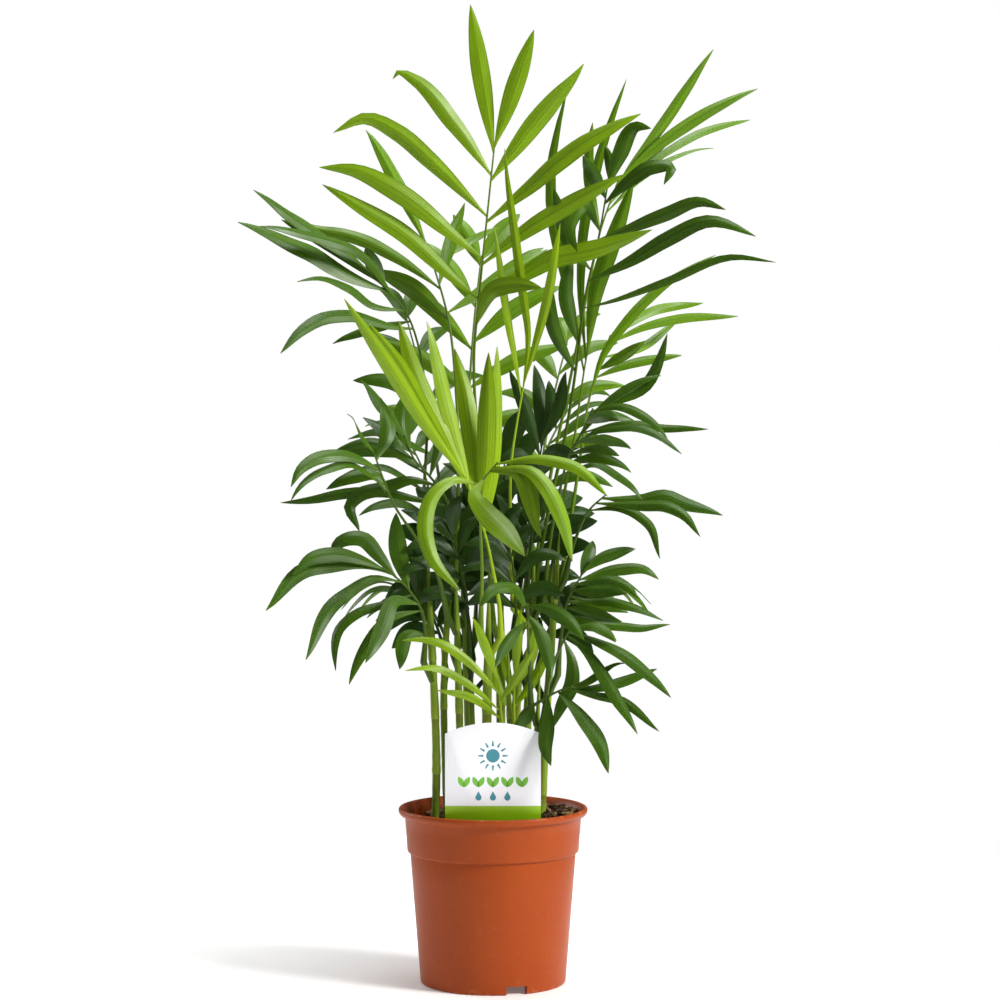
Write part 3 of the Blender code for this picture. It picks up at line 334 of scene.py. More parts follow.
        [(21, -4, 242), (25, -3, 290), (29, -1, 325), (31, 1, 342), (34, 2, 351)],
        [
            (9, -16, 28, 316, 14, 336, 2, 330), (9, -18, 29, 322, 40, 338, 54, 334),
            (8, -6, 30, 334, 22, 360, 10, 389), (9, 2, 31, 340, 30, 370, 27, 393),
            (8, -2, 33, 345, 42, 368, 45, 388), (8, 8, 34, 349, 37, 365, 35, 383),
        ],
    ),
    "frond_sprout": (
        "young", (0, -1, 0.2), -0.2,
        [(7, -17, 148), (5, -19, 170), (3, -20, 196)],
        [
            (5, -18, 5, 168, -15, 182, -35, 186), (5, -12, 5, 173, -20, 193, -35, 200, -55, 200),
            (6, -8, 4, 179, 15, 195, 25, 212), (6, -4, 4, 184, -20, 208, -35, 217, -57, 219),
            (6, -10, 3, 192, -4, 212, -12, 232),
        ],
    ),
    "frond_bundle": (
        "young", (0, -1, 0.2), 0.1,
        [(13, -4, 158), (13, -5, 178), (14, -7, 197)],
        [
            (6, -4, 13, 171, 3, 190, -2, 213), (7, -6, 13, 175, 26, 194, 36, 216),
            (6, -2, 13, 181, 8, 203, 6, 226), (7, 2, 14, 187, 23, 206, 28, 232),
            (6, -2, 14, 193, 15, 213, 17, 238),
        ],
    ),
}

# Fronds that lean away from the front, and short ones inside the plant: age, the way the blades face, the
# midrib as it is, pairs of leaflets, longest leaflet, leaflet width, and how far a tip hangs, as a share.
LEANING = {
    "frond_rear_tall": (
        "mature", (0, -0.9, 0.5),
        [(-19, 37, 226), (-20, 48, 300), (-16, 62, 370), (-12, 76, 425), (-8, 92, 462)], 5, 82, 11, 0.1,
    ),
    "frond_rear_right": (
        "dark", (-0.3, -0.6, 0.8), [(15, 36, 232), (24, 54, 290), (36, 82, 338), (50, 114, 362)],
        5, 74, 10, 0.25,
    ),
    "frond_rear_left": (
        "dark", (0.3, -0.6, 0.8), [(-24, 34, 222), (-34, 52, 276), (-46, 80, 322), (-58, 112, 344)],
        5, 74, 10, 0.25,
    ),
    "frond_rear_low": (
        "dark", (0, -0.3, 1), [(-12, 36, 214), (-10, 58, 252), (-6, 90, 274), (-2, 122, 276)],
        5, 66, 10, 0.35,
    ),
    "frond_rear_low_right": (
        "dark", (-0.2, -0.2, 1), [(22, 33, 206), (34, 52, 232), (50, 78, 246), (66, 104, 244)],
        4, 60, 9, 0.35,
    ),
    "frond_rear_low_left": (
        "dark", (0.2, -0.2, 1), [(-23, 33, 198), (-36, 52, 226), (-50, 78, 242), (-64, 104, 240)],
        4, 60, 9, 0.35,
    ),
    "frond_rear_high_left": (
        "dark", (0.3, -0.7, 0.6), [(-26, 27, 236), (-34, 50, 310), (-46, 80, 380), (-58, 108, 424)],
        4, 62, 10, 0.2,
    ),
    "frond_rear_high_right": (
        "mature", (-0.3, -0.7, 0.6), [(20, 37, 242), (29, 58, 310), (40, 88, 372), (50, 116, 410)],
        4, 62, 10, 0.2,
    ),
    "frond_heart_left": (
        "dark", (0.15, -1, 0.25), [(-13, 19, 204), (-17, 20, 238), (-23, 19, 270), (-31, 17, 298)],
        5, 50, 13, 0.12,
    ),
    "frond_heart_right": (
        "dark", (-0.15, -1, 0.25), [(11, 15, 208), (15, 17, 240), (23, 18, 272), (33, 16, 300)],
        5, 50, 13, 0.12,
    ),
    "frond_heart_middle": (
        "dark", (0, -1, 0.2), [(-1, 22, 196), (-1, 25, 230), (-3, 27, 264), (-5, 27, 304)], 5, 52, 14, 0.1,
    ),
    "frond_heart_low_left": (
        "dark", (0.2, -1, 0.4), [(-30, 16, 196), (-33, 17, 216), (-40, 15, 234), (-49, 11, 246)],
        4, 42, 11, 0.35,
    ),
    "frond_heart_low_right": (
        "dark", (-0.2, -1, 0.4), [(27, 14, 190), (31, 16, 212), (39, 14, 230), (48, 10, 242)],
        4, 42, 11, 0.35,
    ),
    "frond_heart_rear": (
        "dark", (0, -0.9, 0.5), [(5, 36, 214), (6, 40, 254), (8, 45, 292), (7, 50, 334)], 5, 58, 13, 0.12,
    ),
    "frond_inner_left": (
        "mature", (0.1, -0.9, 0.5), [(-15, 6.5, 202), (-16, 1, 235), (-19, -5, 262), (-26, -9, 286)],
        4, 50, 9, 0.3,
    ),
    "frond_inner_right": (
        "mature", (-0.1, -0.9, 0.5), [(19, -5, 196), (15, -9, 232), (13, -14, 262), (9, -20, 286)],
        4, 46, 9, 0.3,
    ),
}


# Upper side, underside and stalk of each age of leaf, as 0 to 255 values on screen.
LEAF_COLOURS = {
    "young": ((150, 186, 6), (178, 204, 40), (150, 176, 30)),
    "fresh": ((132, 170, 4), (160, 190, 34), (98, 126, 20)),
    "mature": ((104, 146, 4), (132, 164, 34), (90, 120, 16)),
    "dark": ((66, 102, 2), (100, 132, 30), (68, 94, 12)),
    # Painted shade: a darker copy of the leaf colours, for fronds inside the clump.
    "painted_shade": ((36, 62, 2), (60, 86, 18), (46, 68, 8)),
}
# The other colours, as 0 to 255 values on screen.
PAINTS = {
    "leaf in shade": (22, 58, 8), "tanned tip": (96, 80, 40), "pale cane": (140, 166, 46),
    "deep cane": (106, 138, 28), "cane cloud": (82, 112, 18), "leaf sheath": (160, 186, 56),
    "cane fleck": (96, 84, 26), "node scar": (104, 92, 34), "terracotta": (158, 65, 8),
    "deep terracotta": (147, 57, 4), "plastic fleck": (172, 78, 28), "worn and highlit plastic": (220, 138, 92),
    "dusty plastic": (204, 128, 84), "wet peat": (34, 18, 8), "peat": (66, 44, 24), "bark": (158, 124, 84),
    "peat fleck": (28, 16, 8), "band foot": (112, 172, 6), "band top": (148, 196, 8), "card": (250, 250, 255),
    "grey card": (244, 245, 252), "soil stain": (84, 66, 30),
    "green_ink": (108, 186, 20), "teal_ink": (30, 134, 150), "card through ink": (236, 237, 243),
    "paper": (250, 250, 250), "pale paper": (253, 253, 253),
}
# Place and width in metres, power in watts, and tint of each lamp, and the light of the air round about.
LAMPS = {
    "key": ((1.75, -1.0, 1.4), 0.7, 68, (1, 0.99, 0.96)),
    "top": ((0.1, 0.3, 2.2), 1.2, 32, (1, 1, 1)),
    "fill": ((-1.6, -1.8, 0.8), 1.2, 1.6, (1, 1, 1)),
    "rim": ((-1.3, 0.9, 0.6), 0.6, 8, (1, 1, 1)),
}
AIR_LIGHT = 0.17
# Fronds inside the clump, which get little light: their leaves take the darker painted-shade colours.
SHADED = ("frond_heart", "frond_inner")
FLOOR_RADIUS = 0.62
LEAF_SLOTS = {age: f"leaf_{age}" for age in LEAF_COLOURS}


def srgb(red, green, blue):
    """A colour as the shader wants it, from its 0 to 255 values on screen."""
    def linear(value):
        share = value / 255
        return share / 12.92 if share <= 0.04045 else ((share + 0.055) / 1.055) ** 2.4
    return (linear(red), linear(green), linear(blue), 1.0)


def paint(name):
    return srgb(*PAINTS[name])


# ---- Materials


def node(tree, kind, inputs=None, **settings):
    """A shader node with its settings made and its sockets filled from values or other sockets."""
    made = tree.nodes.new("ShaderNode" + kind)
    for key, value in settings.items():
        setattr(made, key, value)
    for key, value in (inputs or {}).items():
        if isinstance(value, bpy.types.NodeSocket):
            tree.links.new(value, made.inputs[key])
        else:
            made.inputs[key].default_value = value
    return made


def maths(tree, operation, *values):
    return node(tree, "Math", dict(enumerate(values)), operation=operation).outputs[0]


def times(tree, first, second):
    return maths(tree, "MULTIPLY", first, second)


def plus(tree, first, second):
    return maths(tree, "ADD", first, second)


def mixed(tree, share, first, second):
    """A colour that goes from first to second."""
    return node(tree, "Mix", {0: share, 6: first, 7: second}, data_type="RGBA").outputs[2]


def spread(tree, value, low, high, to_low=0.0, to_high=1.0):
    """value's range from low to high, smoothly stretched over another range."""
    inputs = {0: value, 1: low, 2: high, 3: to_low, 4: to_high}
    return node(tree, "MapRange", inputs, interpolation_type="SMOOTHSTEP").outputs[0]


def noise_at(tree, place, size, detail=3.0, seed=0.0):
    """Noise between 0 and 1 with spots of that many millimetres."""
    inputs = {"Vector": place, "W": seed, "Scale": 1 / (size * MM), "Detail": detail}
    return node(tree, "TexNoise", inputs, noise_dimensions="4D").outputs[0]


def new_group(name, inputs, outputs):
    """A shader node group with sockets given as name: (kind, default), and its two end nodes."""
    group = bpy.data.node_groups.new(name, "ShaderNodeTree")
    for socket, (kind, default) in inputs.items():
        made = group.interface.new_socket(socket, in_out="INPUT", socket_type="NodeSocket" + kind)
        made.default_value = default
    for socket, kind in outputs.items():
        group.interface.new_socket(socket, in_out="OUTPUT", socket_type="NodeSocket" + kind)
    return group, group.nodes.new("NodeGroupInput").outputs, group.nodes.new("NodeGroupOutput").inputs


def use_group(tree, group, inputs):
    made = tree.nodes.new("ShaderNodeGroup")
    made.node_tree = group
    for key, value in inputs.items():
        if isinstance(value, bpy.types.NodeSocket):
            tree.links.new(value, made.inputs[key])
        else:
            made.inputs[key].default_value = value
    return made.outputs


def make_mottle_group():
    """Cloudy patches and fine speckle on Object coordinates, for anything that isn't one even colour."""
    group, ins, outs = new_group(
        "mottle",
        {"Patch": ("Float", 20.0), "Grain": ("Float", 1.0), "Stretch": ("Float", 1.0)},
        {"Clouds": "Float", "Speckle": "Float"},
    )
    place = node(group, "TexCoord").outputs["Object"]
    parts = node(group, "SeparateXYZ", {0: place}).outputs
    height = maths(group, "DIVIDE", parts[2], ins["Stretch"])
    place = node(group, "CombineXYZ", {0: parts[0], 1: parts[1], 2: height}).outputs[0]
    kinds = (("Patch", 1.0, 0.3, 0.7, "Clouds"), ("Grain", 2.0, 0.35, 0.65, "Speckle"))
    for size, seed, low, high, out in kinds:
        scale = maths(group, "DIVIDE", 1 / MM, ins[size])
        inputs = {"Vector": place, "W": seed, "Scale": scale, "Detail": 3.0}
        spots = node(group, "TexNoise", inputs, noise_dimensions="4D").outputs[0]
        group.links.new(spread(group, spots, low, high), outs[out])
    return group


def make_leaf_group(mottle):
    """Colour, gloss and relief of a leaflet: midrib, parallel veins, paler back and foot, tanned tip."""
    green = ("Color", (0.1, 0.3, 0.02, 1.0))
    group, ins, outs = new_group(
        "leaf_markings",
        {"Face": green, "Back": green, "Stalk": green},
        {"Color": "Color", "Roughness": "Float", "Height": "Float"},
    )
    uv = node(group, "UVMap", uv_map="blade").outputs[0]
    parts = node(group, "SeparateXYZ", {0: uv}).outputs
    across = maths(group, "ABSOLUTE", maths(group, "SUBTRACT", parts[0], 0.5))
    tone = node(group, "Attribute", attribute_name="tone").outputs["Fac"]
    under = node(group, "Attribute", attribute_name="under").outputs["Fac"]
    stalk = node(group, "Attribute", attribute_name="stalk").outputs["Fac"]
    spots = use_group(group, mottle, {"Patch": 26.0, "Grain": 1.4, "Stretch": 1.0})
    midrib = spread(group, across, 0.05, 0.012)
    fade = spread(group, parts[1], 0.9, 0.45)
    ripple = maths(group, "COSINE", times(group, across, math.tau * 4))
    vein = times(group, maths(group, "POWER", maths(group, "ABSOLUTE", ripple), 4.0), fade)

    pale = mixed(group, 0.55, ins["Face"], ins["Back"])
    deep = mixed(group, 0.6, ins["Face"], paint("leaf in shade"))
    colour = mixed(group, spread(group, tone, 0.0, 1.0, 0.0, 0.6), ins["Face"], deep)
    colour = mixed(group, times(group, spots["Clouds"], 0.3), colour, deep)
    colour = mixed(group, times(group, spots["Speckle"], 0.1), colour, pale)
    streaks = spread(group, node(group, "TexNoise", {
        "Vector": node(group, "CombineXYZ", {
            0: times(group, parts[0], 9.0), 1: times(group, parts[1], 0.7),
            2: times(group, tone, 40.0),
        }).outputs[0], "Scale": 1.0, "Detail": 2.0,
    }).outputs[0], 0.35, 0.65)
    colour = mixed(group, times(group, streaks, 0.55), colour, deep)
    colour = mixed(group, times(group, vein, 0.4), colour, pale)
    colour = mixed(group, times(group, spread(group, across, 0.4, 0.5), 0.45), colour, deep)
    colour = mixed(group, spread(group, parts[1], 0.3, 0.0, 0.0, 0.4), colour, pale)
    colour = mixed(group, times(group, midrib, 0.5), colour, deep)
    colour = mixed(group, times(group, under, 0.7), colour, ins["Back"])
    tanned = times(group, spread(group, parts[1], 0.94, 1.0), spread(group, tone, 0.35, 0.9))
    colour = mixed(group, times(group, tanned, 0.8), colour, paint("tanned tip"))
    group.links.new(mixed(group, stalk, colour, ins["Stalk"]), outs["Color"])

    rough = plus(group, 0.34, times(group, spots["Clouds"], 0.12))
    rough = plus(group, rough, times(group, under, 0.18))
    group.links.new(rough, outs["Roughness"])
    height = maths(group, "SUBTRACT", times(group, vein, 0.6), times(group, midrib, 1.5))
    height = times(group, height, fade)
    group.links.new(plus(group, height, times(group, spots["Speckle"], 0.03)), outs["Height"])
    return group


def new_material(name, **constants):
    """A material, its tree and its shader, with the constants set on the shader's own sockets."""
    material = bpy.data.materials.new(name)
    material.use_nodes = True
    shader = material.node_tree.nodes["Principled BSDF"]
    for key, value in constants.items():
        shader.inputs[key.replace("_", " ")].default_value = value
    return material, material.node_tree, shader


def connect(tree, shader, colour, roughness, height, step):
    """Feeds a shader's colour and roughness, and its relief of that many millimetres."""
    tree.links.new(colour, shader.inputs["Base Color"])
    tree.links.new(roughness, shader.inputs["Roughness"])
    bump = node(tree, "Bump", {"Height": height, "Strength": 0.6, "Distance": step * MM})
    tree.links.new(bump.outputs[0], shader.inputs["Normal"])


def make_leaf_material(age, markings):
    face, back, stalk = (srgb(*colour) for colour in LEAF_COLOURS[age])
    material, tree, shader = new_material(
        f"{age}_leaf", Subsurface_Weight=0.22, Subsurface_Scale=0.0012, Subsurface_Radius=(0.8, 1.0, 0.25),
        Specular_IOR_Level=0.3,
    )
    outs = use_group(tree, markings, {"Face": face, "Back": back, "Stalk": stalk})
    connect(tree, shader, outs["Color"], outs["Roughness"], outs["Height"], 0.07)
    return material


def make_cane_material(mottle):
    """Green cane, each of its own tone, paler under its old leaf sheaths, with a fine scar at each node."""
    material, tree, shader = new_material("green_cane", Specular_IOR_Level=0.3)
    spots = use_group(tree, mottle, {"Patch": 9.0, "Grain": 0.8, "Stretch": 8.0})
    scar, sheath, tone = (
        node(tree, "Attribute", attribute_name=name).outputs["Fac"] for name in ("scar", "sheath", "tone")
    )
    colour = mixed(tree, tone, paint("pale cane"), paint("deep cane"))
    colour = mixed(tree, times(tree, spots["Clouds"], 0.5), colour, paint("cane cloud"))
    colour = mixed(tree, times(tree, sheath, 0.5), colour, paint("leaf sheath"))
    colour = mixed(tree, times(tree, spots["Speckle"], 0.18), colour, paint("cane fleck"))
    colour = mixed(tree, times(tree, scar, 0.55), colour, paint("node scar"))
    rough = plus(tree, 0.42, times(tree, spots["Clouds"], 0.16))
    connect(tree, shader, colour, rough, plus(tree, spots["Speckle"], scar), 0.12)
    return material


def make_pot_material(mottle):
    """Moulded terracotta-coloured plastic: faint flow marks, dust, and lightened patches on rim and foot,
    worn plastic with a painted highlight on the rim.
    """
    material, tree, shader = new_material("terracotta_plastic", Specular_IOR_Level=0.22)
    spots = use_group(tree, mottle, {"Patch": 34.0, "Grain": 0.7, "Stretch": 3.0})
    place = node(tree, "TexCoord").outputs["Object"]
    height = node(tree, "SeparateXYZ", {0: place}).outputs[2]
    scuffs = noise_at(tree, place, 5.0, 6.0, 5.0)
    colour = mixed(tree, times(tree, spots["Clouds"], 0.5), paint("terracotta"), paint("deep terracotta"))
    colour = mixed(tree, times(tree, spots["Speckle"], 0.14), colour, paint("plastic fleck"))
    # Lightened patches at the rim top and the foot: worn plastic, and on the rim also a painted highlight.
    worn_and_highlit = times(tree, spread(tree, scuffs, 0.5, 0.7), 0.5)
    near_rim = spread(tree, height, (POT_HEIGHT - 1.3) * MM, POT_HEIGHT * MM)
    near_foot = spread(tree, height, 5 * MM, 0.0)
    edges = maths(tree, "MAXIMUM", near_rim, near_foot)
    colour = mixed(tree, times(tree, edges, worn_and_highlit), colour, paint("worn and highlit plastic"))
    dust = times(tree, spread(tree, scuffs, 0.55, 0.75), 0.07)
    colour = mixed(tree, dust, colour, paint("dusty plastic"))
    rough = plus(tree, 0.4, times(tree, spots["Clouds"], 0.08))
    rough = plus(tree, rough, times(tree, dust, 0.8))
    connect(tree, shader, colour, rough, spots["Speckle"], 0.05)
    return material


def make_soil_material(mottle):
    """Damp peat between black-brown and tan; each crumb has its own tone."""
    material, tree, shader = new_material("peat_and_bark", Specular_IOR_Level=0.25)
    spots = use_group(tree, mottle, {"Patch": 7.0, "Grain": 0.6, "Stretch": 1.0})
    tone = node(tree, "Attribute", attribute_name="tone").outputs["Fac"]
    colour = mixed(tree, spots["Clouds"], paint("wet peat"), paint("peat"))
    colour = mixed(tree, spread(tree, tone, 0.2, 1.0), colour, paint("bark"))
    colour = mixed(tree, times(tree, spots["Speckle"], 0.35), colour, paint("peat fleck"))
    rough = plus(tree, 0.78, times(tree, spots["Speckle"], 0.15))
    connect(tree, shader, colour, rough, spots["Speckle"], 0.6)
    return material


def make_label_material(mottle):
    """White printed card with a green band along its foot, as a mask on height."""
    material, tree, shader = new_material("printed_card", Specular_IOR_Level=0.45)
    spots = use_group(tree, mottle, {"Patch": 30.0, "Grain": 0.5, "Stretch": 1.0})
    height = node(tree, "SeparateXYZ", {0: node(tree, "TexCoord").outputs["Object"]}).outputs[2]
    rise = maths(tree, "DIVIDE", height, MM)
    band = spread(tree, rise, LABEL_BAND + 0.1, LABEL_BAND - 0.1)
    green = mixed(tree, spread(tree, rise, LABEL_FOOT, LABEL_BAND), paint("band foot"), paint("band top"))
    white = mixed(tree, times(tree, spots["Clouds"], 0.4), paint("card"), paint("grey card"))
    colour = mixed(tree, band, white, green)
    damp = spread(tree, rise, LABEL_FOOT + 5, LABEL_FOOT - 1, 0.0, 0.45)
    soiled = times(tree, damp, spots["Speckle"])
    colour = mixed(tree, soiled, colour, paint("soil stain"))
    rough = plus(tree, 0.34, times(tree, spots["Clouds"], 0.08))
    connect(tree, shader, colour, rough, spots["Speckle"], 0.02)
    return material


def make_ink_material(name, mottle):
    """Matt print with a trace of the card showing through it."""
    material, tree, shader = new_material(name, Specular_IOR_Level=0.4)
    spots = use_group(tree, mottle, {"Patch": 6.0, "Grain": 0.4, "Stretch": 1.0})
    tint = mixed(tree, times(tree, spots["Speckle"], 0.12), paint(name), paint("card through ink"))
    rough = plus(tree, 0.4, times(tree, spots["Clouds"], 0.06))
    connect(tree, shader, tint, rough, spots["Speckle"], 0.01)
    return material


# ---- Modelling


def fresh_start():
    if bpy.context.object and bpy.context.object.mode != "OBJECT":
        bpy.ops.object.mode_set(mode="OBJECT")
    bpy.ops.object.select_all(action="DESELECT")


def edit(thing, picked):
    """Edit mode on thing, with the vertices that picked(place) is true for selected. Returns its bmesh."""
    bpy.context.view_layer.objects.active = thing
    bpy.ops.object.mode_set(mode="EDIT")
    bpy.ops.mesh.select_mode(type="VERT")
    bpy.ops.mesh.select_all(action="DESELECT")
    shape = bmesh.from_edit_mesh(thing.data)
    for vertex in shape.verts:
        vertex.select = picked(vertex.co)
    shape.select_flush(True)
    bmesh.update_edit_mesh(thing.data)
    return shape


def leave_edit():
    bpy.ops.object.mode_set(mode="OBJECT")


def apply_modifier(thing, kind, **settings):
    modifier = thing.modifiers.new(kind.lower(), kind)
    for key, value in settings.items():
        setattr(modifier, key, value)
    bpy.context.view_layer.objects.active = thing
    bpy.ops.object.modifier_apply(modifier=modifier.name)


def finish_piece(thing, name, slot, materials, *replaced, smooth):
    """Puts a piece's size and place in its mesh, and gives it its name, materials and body, and hides the
    frame's parts that it replaces.
    """
    thing.data.transform(Matrix.Scale(MM, 4) @ thing.matrix_world)
    thing.matrix_world = Matrix()
    thing.name = thing.data.name = name
    thing.data.materials.clear()
    for material in materials:
        thing.data.materials.append(material)
    fresh_start()
    thing.select_set(True)
    bpy.context.view_layer.objects.active = thing
    bpy.ops.object.shade_smooth_by_angle(angle=math.radians(smooth))
    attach(thing, "root")
    if replaced:
        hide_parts(*replaced)
    return thing


def lathe(name, profile, sides):
    """A closed ring-by-ring turning: a disc at the first point, extruded and resized to each next one."""
    fresh_start()
    first_radius, first_height = profile[0]
    bpy.ops.mesh.primitive_circle_add(
        vertices=sides, radius=first_radius, fill_type="NGON", location=(0, 0, first_height)
    )
    thing = bpy.context.object
    thing.name = name
    bpy.ops.object.transform_apply(location=True)
    bpy.ops.object.mode_set(mode="EDIT")
    bpy.ops.mesh.select_all(action="SELECT")
    for (radius, height), (new_radius, new_height) in zip(profile, profile[1:]):
        bpy.ops.mesh.extrude_region_move(TRANSFORM_OT_translate={"value": (0, 0, new_height - height)})
        share = new_radius / radius
        bpy.ops.transform.resize(value=(share, share, 1), center_override=(0, 0, new_height))
    bpy.ops.mesh.select_all(action="SELECT")
    bpy.ops.mesh.normals_make_consistent(inside=False)
    leave_edit()
    return thing


def arc(centre, radius, start, end, steps):
    """Points on an arc, in degrees, for a profile."""
    turns = [math.radians(start + (end - start) * i / steps) for i in range(steps + 1)]
    return [(centre[0] + radius * math.cos(t), centre[1] + radius * math.sin(t)) for t in turns]


def swept(points, radii, sides):
    """A round tube through points with a radius at each: its vertices, ring by ring, and its faces."""
    curve = bpy.data.curves.new("line", "CURVE")
    curve.dimensions = "3D"
    curve.bevel_depth = 1.0
    curve.bevel_resolution = sides // 2 - 2
    curve.use_fill_caps = True
    spline = curve.splines.new("POLY")
    spline.points.add(len(points) - 1)
    for spot, place, radius in zip(spline.points, points, radii):
        spot.co = (*place, 1.0)
        spot.radius = radius
    thing = bpy.data.objects.new("line", curve)
    bpy.context.collection.objects.link(thing)
    fresh_start()
    thing.select_set(True)
    bpy.context.view_layer.objects.active = thing
    bpy.ops.object.convert(target="MESH")
    thing = bpy.context.object
    vertices = [Vector(v.co) for v in thing.data.vertices]
    faces = [tuple(f.vertices) for f in thing.data.polygons]
    bpy.data.objects.remove(thing)
    return vertices, faces


class Parts:
    """Gathers shapes into one mesh, with a float attribute or two kept for each vertex."""

    def __init__(self, *attributes):
        self.points, self.faces = [], []
        self.values = {name: [] for name in attributes}

    def add(self, points, faces, **values):
        first = len(self.points)
        self.points += [tuple(p) for p in points]
        self.faces += [tuple(first + i for i in face) for face in faces]
        for name, kept in self.values.items():
            given = values.get(name, 0.0)
            kept.extend(given if np.ndim(given) else [float(given)] * len(points))

    def build(self, name):
        mesh = bpy.data.meshes.new(name)
        mesh.from_pydata(self.points, [], self.faces)
        for key, kept in self.values.items():
            mesh.attributes.new(key, "FLOAT", "POINT").data.foreach_set("value", kept)
        thing = bpy.data.objects.new(name, mesh)
        bpy.context.collection.objects.link(thing)
        return thing


# ---- Pot, soil and label


def make_pot(material):
    """Turned shell with a rolled lip, a stepped band, a foot ring, drain holes and three notches."""
    lip = 1.5
    lip_centre = (RIM_RADIUS - lip, POT_HEIGHT - lip)
    shoulder = 1.5
    profile = [
        (BOSS_RADIUS - 0.4, 0), (BOSS_RADIUS, 0.4),
        (BOSS_RADIUS, FLOOR_UNDER - 0.8), (BOSS_RADIUS + 0.8, FLOOR_UNDER),
        (FOOT_RING_INNER - 0.8, FLOOR_UNDER), (FOOT_RING_INNER, FLOOR_UNDER - 0.8), (FOOT_RING_INNER, 0.4),
        (FOOT_RING_INNER + 0.4, 0), *arc((FOOT_RADIUS - 1.6, 1.8), 1.8, -90, 0, 5),
    ]
    for share in (0.08, 0.3, 0.55, 0.8):
        radius = FOOT_RADIUS + 0.2 + (BODY_TOP_RADIUS - FOOT_RADIUS - 0.2) * share
        profile.append((radius, 2 + (BODY_TOP - 2) * share))
    profile += [(BODY_TOP_RADIUS - 0.1, BODY_TOP - 0.9), (BODY_TOP_RADIUS - 0.25, BODY_TOP)]
    profile += [(BODY_TOP_RADIUS - 0.1, BODY_TOP + 0.5), (BAND_LOW_RADIUS - 0.6, BAND_LOW - shoulder)]
    profile += [(BAND_LOW_RADIUS - 0.15, BAND_LOW - 1.0), (BAND_LOW_RADIUS, BAND_LOW)]
    profile += [(BAND_TOP_RADIUS - 0.75, BAND_TOP - 9), (BAND_TOP_RADIUS - 0.1, BAND_TOP - 0.9)]
    profile += [(BAND_TOP_RADIUS + 0.3, BAND_TOP - 0.2), (RIM_RADIUS - 2.4, BAND_TOP + 0.1)]
    profile += [(RIM_RADIUS - 1.2, BAND_TOP + 0.6), (RIM_RADIUS - 0.35, BAND_TOP + 1.7)]
    profile += arc(lip_centre, lip, 0, 150, 7)
    inner_lip = profile[-1][0]
    profile += [(inner_lip - 0.8, POT_HEIGHT - 1.4), (BAND_TOP_RADIUS - POT_WALL, BAND_TOP - 0.4)]
    profile += [(BAND_LOW_RADIUS - POT_WALL, BAND_LOW), (BODY_TOP_RADIUS - POT_WALL, BODY_TOP - 0.5)]
    profile += [(FOOT_RADIUS - POT_WALL, FLOOR_TOP + 1), (FOOT_RADIUS - POT_WALL - 1, FLOOR_TOP)]
    pot = lathe("pot_shell", profile, POT_SIDES)
    tools = []
    for i in range(DRAIN_HOLES):
        turn = math.tau * (i + 0.5) / DRAIN_HOLES
        bpy.ops.mesh.primitive_cylinder_add(
            vertices=28, radius=DRAIN_RADIUS, depth=6,
            location=(DRAIN_CIRCLE * math.cos(turn), DRAIN_CIRCLE * math.sin(turn), FLOOR_TOP - 1),
        )
        tools.append(bpy.context.object)
    for i in range(NOTCHES):
        turn = math.radians(NOTCH_TURN - 90 + i * 360 / NOTCHES)
        bpy.ops.mesh.primitive_cube_add(size=1)
        tool = bpy.context.object
        tool.scale = (8, NOTCH_WIDTH, 2 * NOTCH_HEIGHT)
        tool.rotation_euler.z = turn
        middle = FOOT_RADIUS - 1
        tool.location = (middle * math.cos(turn), middle * math.sin(turn), 0)
        fresh_start()
        tool.select_set(True)
        bpy.ops.object.transform_apply(location=False, rotation=False, scale=True)
        apply_modifier(tool, "BEVEL", width=0.7, segments=3)
        tools.append(tool)
    for tool in tools:
        apply_modifier(pot, "BOOLEAN", object=tool, operation="DIFFERENCE", solver="EXACT")
        bpy.data.objects.remove(tool)
    return finish_piece(pot, "pot_shell", "pot_plastic", [material], "pot", smooth=32)


def soil_height(x, y):
    """Height of the soil surface: mounded, lumpy, and a little sunk at the wall."""
    out = math.hypot(x, y) / BAND_TOP_RADIUS
    lumps = noise.fractal(Vector((x, y, 3.0)) / 7.0, 0.7, 2.1, 5)
    slope = 0.06 * x + 0.045 * y
    return SOIL_TOP + 1.5 * (1 - out**2) + slope - 1.2 * max(0.0, out - 0.85) / 0.15 + 1.7 * lumps


def make_soil(material):
    """The root ball, with a lumpy top."""
    wall = POT_WALL + 0.5
    edge = BAND_TOP_RADIUS - wall - 0.3
    profile = [
        (FOOT_RADIUS - wall - 1, FLOOR_TOP + 0.6), (BODY_TOP_RADIUS - wall - 0.1, BODY_TOP - 1),
        (BAND_LOW_RADIUS - wall - 0.1, BAND_LOW + 0.4), (edge, SOIL_TOP - 4),
    ]
    profile += [(radius, SOIL_TOP) for radius in np.linspace(edge, 1.0, 40)]
    soil = lathe("soil_surface", profile, 120)
    for vertex in soil.data.vertices:
        if vertex.co.z > SOIL_TOP - 0.5:
            vertex.co.z = soil_height(vertex.co.x, vertex.co.y)
    return finish_piece(soil, "soil_surface", "soil", [material], "soil", smooth=60)


